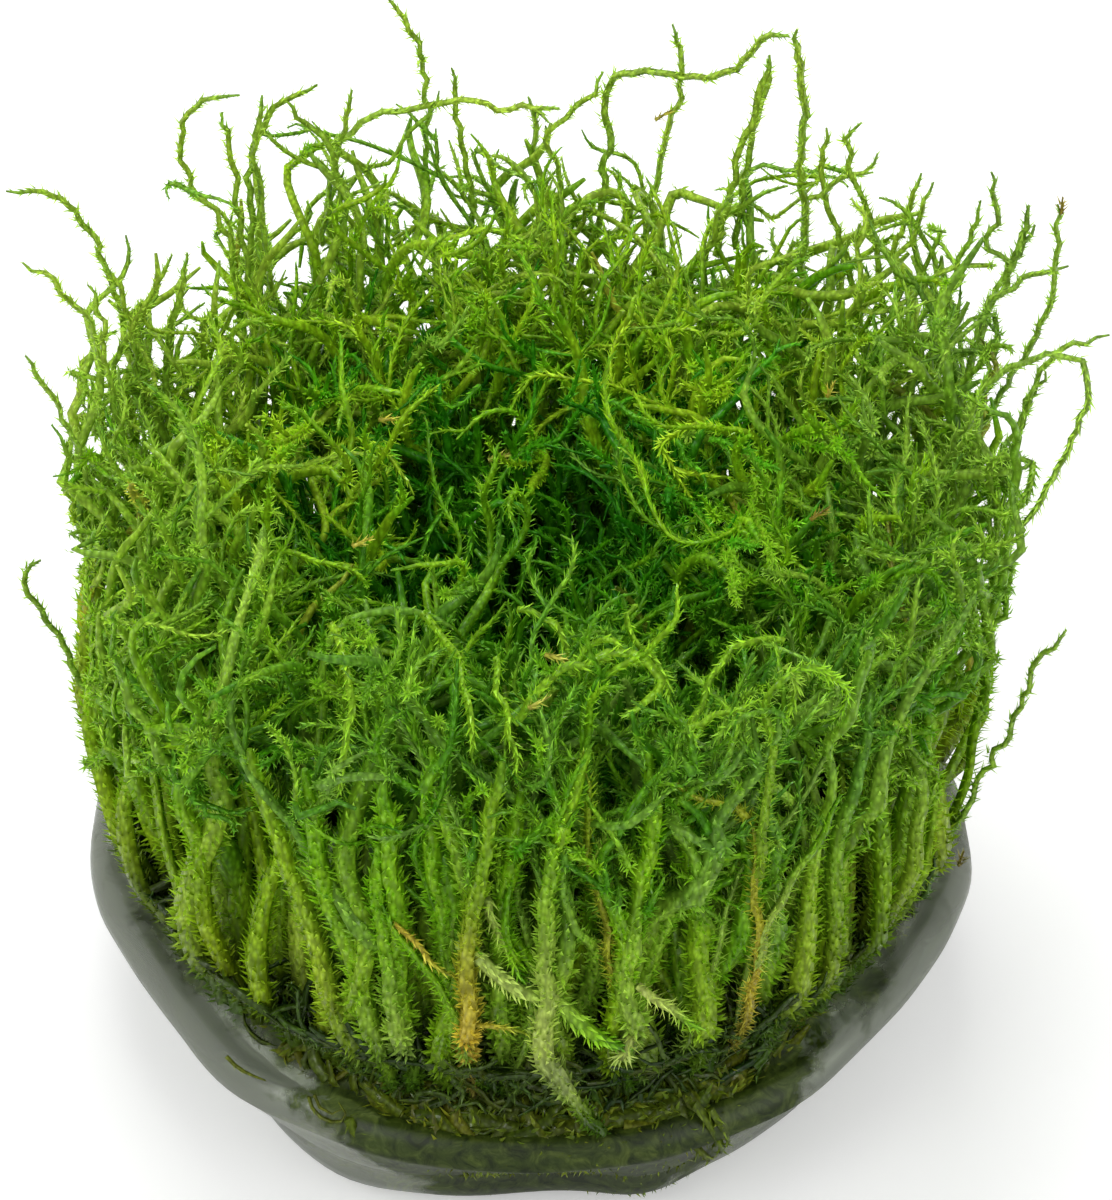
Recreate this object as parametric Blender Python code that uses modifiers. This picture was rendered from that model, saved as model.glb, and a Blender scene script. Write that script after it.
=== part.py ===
"""Tissue-cultured java moss: an open-crowned cushion of upright shoots, rooted in a puck of nutrient gel.

Metres, +Z up. The origin is the middle of the gel's flat underside, and -Y faces the viewer.
"""

import math
import random

import bmesh
import bpy
from mathutils import Vector

# Gel puck, as the culture cup cast it
GEL_TOP_RADIUS = 0.0320
GEL_FOOT_RADIUS = 0.0280
GEL_HEIGHT = 0.0120
GEL_FOOT_ROUND = 0.0050
GEL_BRIM_ROUND = 0.0020
GEL_SIDES = 40
GEL_ARC_STEPS = 3
GEL_WALL_STEPS = 3

# Slumps and swellings of the soft gel wall: azimuth and width in degrees, and how far it stands out.
# They fade out from this share of the gel's height up to the brim.
SWELL_FADE_SHARE = 0.45
GEL_SWELLS = (
    (-146, 14, -0.0011),
    (-116, 15, 0.0013),
    (-88, 9, -0.0008),
    (-72, 7, 0.0011),
    (30, 24, -0.0006),
    (105, 20, 0.0008),
)

# Moss cushion, measured from the table
CUSHION_HEIGHT = 0.0530
HOLLOW_HEIGHT = 0.0360
HEIGHT_SPREAD = 0.0030
SPLIT_HEIGHT = 0.0210
SKIRT_RISE = 0.0018

# How the tufts are rooted and spaced
ROOT_DEPTH = 0.0040
ROOT_RADIUS = 0.0019
ROOT_CLEARANCE = 0.0003
SOCKET_OVERRUN = 0.0020
WALL_INSET = 0.0010
TUFT_GAP = 0.0005

# Rings of tufts from the cup wall inwards: name, number, and height share, 0 in the hollow and 1 at the rim
RINGS = (
    ("outer_tuft", 20, 1.0),
    ("middle_tuft", 14, 0.86),
    ("inner_tuft", 8, 0.36),
    ("centre_tuft", 3, 0.0),
)
# The innermost ring's own radius, as a share of the pitch from ring to ring
CORE_RING_SHARE = 0.42

# One tuft: shoots stand round a middle shoot, and part from it at the split
SHOOTS = 5
VALLEY_SHARE = 0.60
SHOOT_LEVELS = ((0.38, 0.84), (0.72, 0.54), (1.0, 0.11))
MIDDLE_LEVELS = ((0.50, 0.56), (1.0, 0.12))
SHOOT_SPREAD = 0.0009
SHOOT_SWING = 0.0005
SHORTEST_SHOOT = 0.80
# Where an outer shoot's middle stands in its tuft, as a share of the room round the tuft's middle
SHOOT_MIDDLE_SHARE = 0.7
# A long shoot keeps inside its tuft for a share of its rise. Sizes: there, at its first free point, at its tip
LONG_SHOOT_FREE_FROM = 0.6
LONG_SHOOT_SIZES = (0.66, 0.40, 0.14)

# How the cushion departs from straight upright tufts: it bellies over the gel's brim, then widens slowly
BELLY_SPREAD = 0.055
BELLY_SHARE = 0.35
CROWN_SPREAD = 0.025
RIM_FLICK = 0.0012
RIM_START_SHARE = 0.80
SWAY = 0.0010
SWAY_LENGTH = 0.030
SWAY_POWER = 1.5
# How fast the sway turns with each step across and up, as shares of a full step
SWAY_TURNS = {"x_by_y": 1.0, "x_by_z": 0.4, "y_by_x": 0.8, "y_by_z": -0.5}

# Long shoots that leave the cushion, each from its first free point to its tip, in millimetres
LONG_SHOOTS = {
    "left_arc": ((-29.3, 12.0, 54.4), (-29.8, 12.0, 57.2), (-31.0, 11.0, 60.4), (-33.0, 10.0, 62.4),
                 (-35.2, 9.0, 63.2)),
    "left_branch": ((-29.6, 6.0, 53.5), (-31.0, 6.0, 56.1), (-32.4, 5.0, 58.8), (-34.0, 5.0, 60.2)),
    "left_twig": ((-31.0, 0.0, 49.6), (-32.4, 0.0, 53.4), (-33.7, 0.0, 56.2)),
    "left_loop": ((-22.0, 20.0, 52.6), (-23.5, 20.2, 55.0), (-24.3, 20.2, 58.0), (-23.8, 20.0, 61.0),
                  (-22.2, 19.8, 62.9), (-19.8, 19.6, 63.3)),
    "left_hook": ((-33.6, -3.0, 34.9), (-34.5, -3.0, 37.6), (-34.6, -3.0, 39.8)),
    "back_tall": ((-7.3, 31.0, 52.4), (-7.2, 31.0, 56.0), (-7.6, 30.2, 59.8), (-8.6, 29.6, 62.4),
                  (-9.8, 29.0, 64.8)),
    "back_runner": ((5.6, 30.0, 53.0), (5.6, 29.6, 56.6), (8.0, 28.8, 58.6), (12.2, 28.2, 58.2),
                    (15.0, 27.6, 60.0), (16.8, 26.6, 63.2)),
    "back_right": ((19.6, 25.2, 53.0), (19.4, 25.0, 57.1), (19.3, 24.8, 61.4), (18.8, 24.6, 65.2)),
    "right_tall": ((33.6, 7.0, 48.0), (35.4, 6.4, 52.6), (36.0, 6.0, 59.0), (35.7, 6.0, 64.4)),
    "right_hang": ((32.2, 1.0, 54.0), (34.4, 0.6, 55.8), (37.2, 0.2, 55.6), (38.1, -0.6, 53.6),
                   (37.5, -1.0, 50.5), (36.2, -1.2, 46.9)),
    "right_low": ((34.0, -9.0, 31.9), (34.9, -8.6, 36.2), (36.9, -8.2, 38.7)),
}
MILLIMETRE = 0.001
WELD = 0.00001

# Colours and gloss as the photograph shows them
FINISHES = {
    "gel": ((0.42, 0.45, 0.40, 1.0), 0.22),
    "outer_tuft": ((0.20, 0.42, 0.05, 1.0), 0.60),
    "middle_tuft": ((0.14, 0.36, 0.03, 1.0), 0.60),
    "inner_tuft": ((0.08, 0.27, 0.02, 1.0), 0.65),
    "centre_tuft": ((0.05, 0.20, 0.02, 1.0), 0.65),
}
SEED = 11


def clear_scene():
    for old in list(bpy.data.objects):
        bpy.data.objects.remove(old, do_unlink=True)


def new_collection(name):
    collection = bpy.data.collections.new(name)
    bpy.context.scene.collection.children.link(collection)
    return collection


def new_material(name):
    colour, roughness = FINISHES[name]
    material = bpy.data.materials.new(name)
    material.use_nodes = True
    shader = material.node_tree.nodes["Principled BSDF"]
    shader.inputs["Base Color"].default_value = colour
    shader.inputs["Roughness"].default_value = roughness
    shader.inputs["Metallic"].default_value = 0.0
    return material


def new_object(name, mesh, collection, material=None):
    made = bpy.data.objects.new(name, mesh)
    collection.objects.link(made)
    if material:
        mesh.materials.append(material)
    return made


def polar(radius, angle, height):
    return Vector((radius * math.cos(angle), radius * math.sin(angle), height))


def facing(middle):
    """The way outwards from the cushion's axis, as an angle."""
    return math.atan2(middle.y, middle.x)


def smooth_step(low, high, value):
    share = min(1.0, max(0.0, (value - low) / (high - low)))
    return share * share * (3.0 - 2.0 * share)


# Gel puck


def gel_profile():
    """Radius and height down the puck's outer side, from the middle of its top to the middle of its foot."""
    points = [(0.0, GEL_HEIGHT)]
    for step in range(GEL_ARC_STEPS + 1):
        turn = math.radians(90.0) * (1.0 - step / GEL_ARC_STEPS)
        points.append(
            (
                GEL_TOP_RADIUS - GEL_BRIM_ROUND * (1.0 - math.cos(turn)),
                GEL_HEIGHT - GEL_BRIM_ROUND * (1.0 - math.sin(turn)),
            )
        )
    wall_top, wall_foot = points[-1], (GEL_FOOT_RADIUS, GEL_FOOT_ROUND)
    for step in range(1, GEL_WALL_STEPS):
        share = step / GEL_WALL_STEPS
        points.append(tuple(a + (b - a) * share for a, b in zip(wall_top, wall_foot)))
    for step in range(GEL_ARC_STEPS + 1):
        turn = math.radians(90.0) * step / GEL_ARC_STEPS
        points.append(
            (
                GEL_FOOT_RADIUS - GEL_FOOT_ROUND * (1.0 - math.cos(turn)),
                GEL_FOOT_ROUND * (1.0 - math.sin(turn)),
            )
        )
    points.append((0.0, 0.0))
    return points


def wall_swell(angle, height):
    """How far the wall stands out at this azimuth and height."""
    out = 0.0
    for azimuth, width, amount in GEL_SWELLS:
        apart = math.degrees(angle) - azimuth
        apart = (apart + 180.0) % 360.0 - 180.0
        out += amount * math.exp(-((apart / width) ** 2))
    return out * (1.0 - smooth_step(SWELL_FADE_SHARE * GEL_HEIGHT, GEL_HEIGHT - GEL_BRIM_ROUND, height))


def turned_mesh(profile, sides):
    """The profile turned round +Z by a Screw modifier, as a plain mesh."""
    line = bpy.data.meshes.new("gel_profile")
    line.from_pydata([(r, 0.0, z) for r, z in profile], [(i, i + 1) for i in range(len(profile) - 1)], [])
    guide = bpy.data.objects.new("gel_profile", line)
    bpy.context.scene.collection.objects.link(guide)
    screw = guide.modifiers.new("turn", "SCREW")
    screw.steps = screw.render_steps = sides
    screw.use_merge_vertices = True
    screw.merge_threshold = WELD
    graph = bpy.context.evaluated_depsgraph_get()
    mesh = bpy.data.meshes.new_from_object(guide.evaluated_get(graph))
    bpy.data.objects.remove(guide)
    return mesh


def make_gel(collection):
    mesh = turned_mesh(gel_profile(), GEL_SIDES)
    for vertex in mesh.vertices:
        x, y, z = vertex.co
        radius = math.hypot(x, y)
        if radius > 0.0:
            angle = math.atan2(y, x)
            vertex.co = polar(radius + wall_swell(angle, z), angle, z)
    mesh.shade_smooth()
    mesh.set_sharp_from_angle(angle=math.radians(40.0))
    return new_object("gel_puck", mesh, collection, new_material("gel"))


# Layout of the tufts


def ring_pitch():
    """Ring to ring: the outer tufts stand just inside the cup wall, and the innermost round the axis."""
    return (GEL_TOP_RADIUS - WALL_INSET) / (len(RINGS) - 0.5 + CORE_RING_SHARE)


def tuft_layout():
    """Each tuft's name, ring, middle, free radius round it, and height."""
    rng = random.Random(SEED)
    pitch = ring_pitch()
    for index, (name, count, share) in enumerate(RINGS):
        last = index == len(RINGS) - 1
        radius = CORE_RING_SHARE * pitch if last else GEL_TOP_RADIUS - WALL_INSET - (index + 0.5) * pitch
        room = min(pitch / 2.0, radius * math.sin(math.pi / count)) - TUFT_GAP / 2.0
        for number in range(count):
            angle = 2.0 * math.pi * (number + 0.5 * (index % 2)) / count
            height = HOLLOW_HEIGHT + (CUSHION_HEIGHT - HOLLOW_HEIGHT) * share
            height += rng.uniform(-HEIGHT_SPREAD, HEIGHT_SPREAD)
            label = f"{name}_{number + 1:02d}"
            yield label, name, polar(radius, angle, 0.0), room, height


def grown(point):
    """Where a straight tuft's point ends up: the cushion bellies, spreads, flicks out at the rim, and sways."""
    x, y, z = point
    start = GEL_HEIGHT + SKIRT_RISE
    rise = max(0.0, (z - start) / (CUSHION_HEIGHT - start))
    radius = math.hypot(x, y)
    out = BELLY_SPREAD * smooth_step(0.0, BELLY_SHARE, rise) + CROWN_SPREAD * rise * rise
    if radius > 0.0:
        rim = smooth_step(RIM_START_SHARE * GEL_TOP_RADIUS, GEL_TOP_RADIUS, radius)
        out += RIM_FLICK * rim * rise * rise / radius
    wave = 2.0 * math.pi / SWAY_LENGTH
    lean = SWAY * rise ** SWAY_POWER
    lean_x = lean * math.sin(wave * (SWAY_TURNS["x_by_y"] * y + SWAY_TURNS["x_by_z"] * z))
    lean_y = lean * math.cos(wave * (SWAY_TURNS["y_by_x"] * x + SWAY_TURNS["y_by_z"] * z))
    return Vector((x * (1.0 + out) + lean_x, y * (1.0 + out) + lean_y, z))


def long_shoot_owners(layout):
    """Each long shoot grows on from the nearest free outer shoot, given by tuft name and shoot number."""
    free = {}
    for label, ring, middle, room, _ in layout:
        if ring == RINGS[0][0]:
            for index in range(SHOOTS):
                angle = facing(middle) + 2.0 * math.pi * index / SHOOTS
                free[label, index] = middle + polar(SHOOT_MIDDLE_SHARE * room, angle, 0.0)
    owners = {}
    for route in LONG_SHOOTS.values():
        points = [Vector(point) * MILLIMETRE for point in route]
        nearest = min(
            free, key=lambda key: (grown(Vector((*free[key].xy, points[0].z))) - points[0]).length
        )
        del free[nearest]
        owners[nearest] = points
    return owners


# One tuft


def star(radius, valley, height, turn):
    """Ridges and valleys in turn round a tuft: one ridge for each outer shoot."""
    corners = []
    for index in range(2 * SHOOTS):
        reach = radius if index % 2 == 0 else valley
        corners.append(polar(reach, turn + math.pi * index / SHOOTS, height))
    return corners


def root_corners(height, radius, turn):
    """The root's pentagon, with a corner in the middle of each side to meet the star's valleys."""
    return star(radius, radius * math.cos(math.pi / SHOOTS), height, turn)


def move_ring(ring, corners):
    for vertex, corner in zip(ring, corners):
        vertex.co = corner


def extrude_ring(mesh, face):
    """The face pushed out into a new one; its corners come back in the old face's order."""
    made = bmesh.ops.extrude_discrete_faces(mesh, faces=[face])["faces"][0]
    return made, list(made.verts)


def tuft_column(room, turn):
    """Root, skirt and fluted column as one closed mesh, whose top face is then the star at the split."""
    mesh = bmesh.new()
    collar = GEL_HEIGHT + ROOT_CLEARANCE
    bmesh.ops.create_cone(
        mesh, cap_ends=True, segments=2 * SHOOTS, radius1=0.0, radius2=ROOT_RADIUS, depth=ROOT_DEPTH
    )
    top = max(mesh.faces, key=lambda face: len(face.verts))
    tip = min(mesh.verts, key=lambda vertex: vertex.co.z)
    tip.co = Vector((0.0, 0.0, GEL_HEIGHT - ROOT_DEPTH))
    valley = VALLEY_SHARE * room
    move_ring(top.verts, root_corners(collar, ROOT_RADIUS, turn))
    for height in (GEL_HEIGHT + SKIRT_RISE, SPLIT_HEIGHT):
        top, corners = extrude_ring(mesh, top)
        move_ring(corners, star(room, valley, height, turn))
    return mesh, top


def split_crown(top):
    """The star face parted into one triangle for each outer shoot and a pentagon for the middle one."""
    corners = list(top.verts)
    outer = []
    rest = top
    for index in range(SHOOTS):
        before, after = corners[2 * index - 1], corners[(2 * index + 1) % (2 * SHOOTS)]
        made, _ = bmesh.utils.face_split(rest, before, after)
        ridge = corners[2 * index]
        pair = (rest, made)
        outer.append(pair[0] if ridge in pair[0].verts else pair[1])
        rest = pair[1] if ridge in pair[0].verts else pair[0]
    return outer, rest


def middle_of(face):
    return face.calc_center_median()


def grow_shoot(mesh, face, tip, levels, bend):
    """The face drawn up to the tip, level by level: each has a height share, a size share and a bend."""
    start = middle_of(face)
    offsets = [vertex.co - start for vertex in face.verts]
    for share, size in levels:
        face, corners = extrude_ring(mesh, face)
        middle = Vector((start.x, start.y, start.z + (tip - start.z) * share)) + bend(share)
        for vertex, offset in zip(corners, offsets):
            vertex.co = middle + offset * size


def grow_long_shoot(mesh, face, route, place):
    """The face drawn up inside its tuft and then along the route, turning with it and thinning to the tip."""
    start = middle_of(face)
    offsets = [vertex.co - start for vertex in face.verts]
    inside = start.lerp(Vector((start.x, start.y, route[0].z)), LONG_SHOOT_FREE_FROM)
    path = [place(start), place(inside), *route]
    steps = len(route) - 1
    sizes = [1.0, LONG_SHOOT_SIZES[0]]
    for index in range(len(route)):
        share = index / steps
        sizes.append(LONG_SHOOT_SIZES[1] * (1.0 - share) + LONG_SHOOT_SIZES[2] * share)
    ahead = Vector((0.0, 0.0, 1.0))
    for index in range(1, len(path)):
        onward = path[min(index + 1, len(path) - 1)] - path[index - 1]
        turn = ahead.rotation_difference(onward)
        ahead = onward
        offsets = [turn @ offset for offset in offsets]
        face, corners = extrude_ring(mesh, face)
        for vertex, offset in zip(corners, offsets):
            vertex.co = path[index] + offset * sizes[index]
        yield from corners


def tuft_mesh(middle, room, height, turn, routes, rng):
    """One tuft: a root in the gel, a fluted column, and shoots that part, bend and taper above it."""
    mesh, top = tuft_column(room, turn)
    outer, centre = split_crown(top)
    settled = set()

    def place(point):
        return grown(point + middle)

    for index, face in enumerate(outer):
        angle = turn + 2.0 * math.pi * index / SHOOTS
        tip = height * rng.uniform(SHORTEST_SHOOT, 1.0)
        swing = SHOOT_SWING * rng.uniform(-1.0, 1.0)

        def bend(share, angle=angle, swing=swing):
            away = polar(SHOOT_SPREAD * share, angle, 0.0)
            return away + polar(swing * share * share, angle + math.pi / 2.0, 0.0)

        if index in routes:
            settled.update(grow_long_shoot(mesh, face, routes[index], place))
        else:
            grow_shoot(mesh, face, tip, SHOOT_LEVELS, bend)
    middle_turn = rng.uniform(0.0, 2.0 * math.pi)
    grow_shoot(
        mesh, centre, height, MIDDLE_LEVELS, lambda share: polar(SHOOT_SWING * share, middle_turn, 0.0)
    )
    for vertex in mesh.verts:
        if vertex not in settled:
            vertex.co = place(vertex.co)
    bmesh.ops.recalc_face_normals(mesh, faces=mesh.faces)
    made = bpy.data.meshes.new("tuft")
    mesh.to_mesh(made)
    mesh.free()
    return made


# Rooting sockets


def socket_mesh(turn):
    """The root's cone grown by the clearance on every side, and carried on above the gel's surface."""
    half_width = ROOT_RADIUS * math.cos(math.pi / SHOOTS)
    slope = math.atan2(half_width, ROOT_DEPTH + ROOT_CLEARANCE)
    depth = ROOT_DEPTH + ROOT_CLEARANCE / math.sin(slope)
    top = depth + SOCKET_OVERRUN
    radius = top * math.tan(slope) / math.cos(math.pi / SHOOTS)
    mesh = bmesh.new()
    bmesh.ops.create_cone(mesh, cap_ends=True, segments=SHOOTS, radius1=0.0, radius2=radius, depth=top)
    apex = min(mesh.verts, key=lambda vertex: vertex.co.z)
    rim = sorted(
        (vertex for vertex in mesh.verts if vertex is not apex),
        key=lambda vertex: math.atan2(vertex.co.y, vertex.co.x) % (2.0 * math.pi),
    )
    apex.co = Vector((0.0, 0.0, GEL_HEIGHT - depth))
    for index, vertex in enumerate(rim):
        vertex.co = polar(radius, turn + 2.0 * math.pi * index / SHOOTS, GEL_HEIGHT - depth + top)
    bmesh.ops.recalc_face_normals(mesh, faces=mesh.faces)
    made = bpy.data.meshes.new("socket")
    mesh.to_mesh(made)
    mesh.free()
    return made


def cut_sockets(gel, sockets):
    """One Boolean takes every rooting socket out of the gel's top."""
    cut = gel.modifiers.new("rooting_sockets", "BOOLEAN")
    cut.solver = "EXACT"
    cut.operation = "DIFFERENCE"
    cut.operand_type = "COLLECTION"
    cut.collection = sockets


def main():
    clear_scene()
    parts = new_collection("tissue_culture_java_moss")
    sockets = new_collection("sockets")
    gel = make_gel(parts)
    layout = list(tuft_layout())
    owners = long_shoot_owners(layout)
    greens = {name: new_material(name) for name, _, _ in RINGS}
    rng = random.Random(SEED + 1)
    for label, ring, middle, room, height in layout:
        turn = facing(middle) if ring == RINGS[0][0] else rng.uniform(0.0, 2.0 * math.pi)
        routes = {index: owners[label, index] for index in range(SHOOTS) if (label, index) in owners}
        mesh = tuft_mesh(middle, room, height, turn, routes, rng)
        new_object(label, mesh, parts, greens[ring])
        socket = new_object(f"socket_{label}", socket_mesh(turn), sockets)
        socket.location = middle
        socket.hide_render = True
        socket.display_type = "WIRE"
    cut_sockets(gel, sockets)


main()
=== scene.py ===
"""A cushion of tissue-cultured java moss on its puck of clear nutrient gel.

Every shoot is a line grown in this script. One Geometry Nodes tree then gives each line its stem and its leaves.
"""

import math

import bmesh
import bpy
import numpy as np
from bpy.props import FloatProperty, FloatVectorProperty, IntProperty, PointerProperty
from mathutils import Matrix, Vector, noise


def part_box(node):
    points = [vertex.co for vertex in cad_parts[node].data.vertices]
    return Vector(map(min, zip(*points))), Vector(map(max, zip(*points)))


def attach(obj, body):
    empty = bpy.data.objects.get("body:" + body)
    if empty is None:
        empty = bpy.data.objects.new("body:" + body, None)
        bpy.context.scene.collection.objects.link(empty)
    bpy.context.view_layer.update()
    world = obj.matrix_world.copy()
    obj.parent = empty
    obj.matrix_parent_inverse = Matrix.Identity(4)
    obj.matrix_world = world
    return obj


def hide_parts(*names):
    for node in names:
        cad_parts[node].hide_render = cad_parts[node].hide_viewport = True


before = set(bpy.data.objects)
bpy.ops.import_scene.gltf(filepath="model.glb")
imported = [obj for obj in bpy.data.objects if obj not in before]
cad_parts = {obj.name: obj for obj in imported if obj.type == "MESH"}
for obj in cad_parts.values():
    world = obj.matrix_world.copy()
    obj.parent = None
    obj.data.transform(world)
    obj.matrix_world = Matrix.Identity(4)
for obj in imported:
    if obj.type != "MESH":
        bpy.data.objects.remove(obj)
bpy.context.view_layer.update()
GEL_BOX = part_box("gel_puck")

bl_info = {
    "name": "Java Moss Cushion",
    "version": (1, 0, 0),
    "blender": (4, 5, 0),
    "location": "3D Viewport > Sidebar > Moss",
    "description": "Builds a cushion of java moss on clear nutrient gel",
    "category": "Object",
}

MM = 0.001

# The plan of the cushion, in millimetres, as its solids have it.
GEL_TOP_RADIUS = 32.0
GEL_FOOT_RADIUS = 28.0
GEL_HEIGHT = 12.0
GEL_FOOT_ROUND = 5.0
GEL_BRIM_ROUND = 2.0
# How far the gel has crept up the moss inside its brim.
GEL_CLIMB = 3.2
# Where the wall swells in or out below its brim: bearing and width in degrees, distance in millimetres.
GEL_SWELLS = (
    (-146.0, 14.0, -1.1),
    (-116.0, 15.0, 1.3),
    (-88.0, 9.0, -0.8),
    (-72.0, 7.0, 1.1),
    (30.0, 24.0, -0.6),
    (105.0, 20.0, 0.8),
)
# Where the whole wall has slumped in or out: bearing and width in degrees, distance in millimetres.
GEL_SLUMPS = ((-151.0, 17.0, -1.2), (-34.0, 18.0, -0.9), (-7.0, 8.0, 0.4))
CUSHION_HEIGHT = 53.0
BELLY_SPREAD = 0.055
BELLY_SHARE = 0.35
CROWN_SPREAD = 0.025
RIM_FLICK = 1.2
RIM_START_SHARE = 0.80
SWAY = 1.0
SWAY_LENGTH = 30.0
SWAY_POWER = 1.5
# The rings of tufts: slot, how many, and their distance from the middle.
RINGS = (("outer_tuft", 20, 27.05), ("middle_tuft", 14, 19.14), ("inner_tuft", 8, 11.23), ("centre_tuft", 3, 3.32))
GOLDEN_ANGLE = math.pi * (3.0 - math.sqrt(5.0))

# How tall the cushion stands at each distance from the middle of its hollow, in millimetres.
HEIGHT_AT = ((0.0, 28.0), (5.0, 30.0), (9.0, 36.5), (13.0, 43.0), (18.0, 48.0), (24.0, 51.5), (31.0, 50.5))
# How far the hollow lies to the left of the middle, and towards the front.
HOLLOW_SHIFT = (1.5, 3.0)

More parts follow.
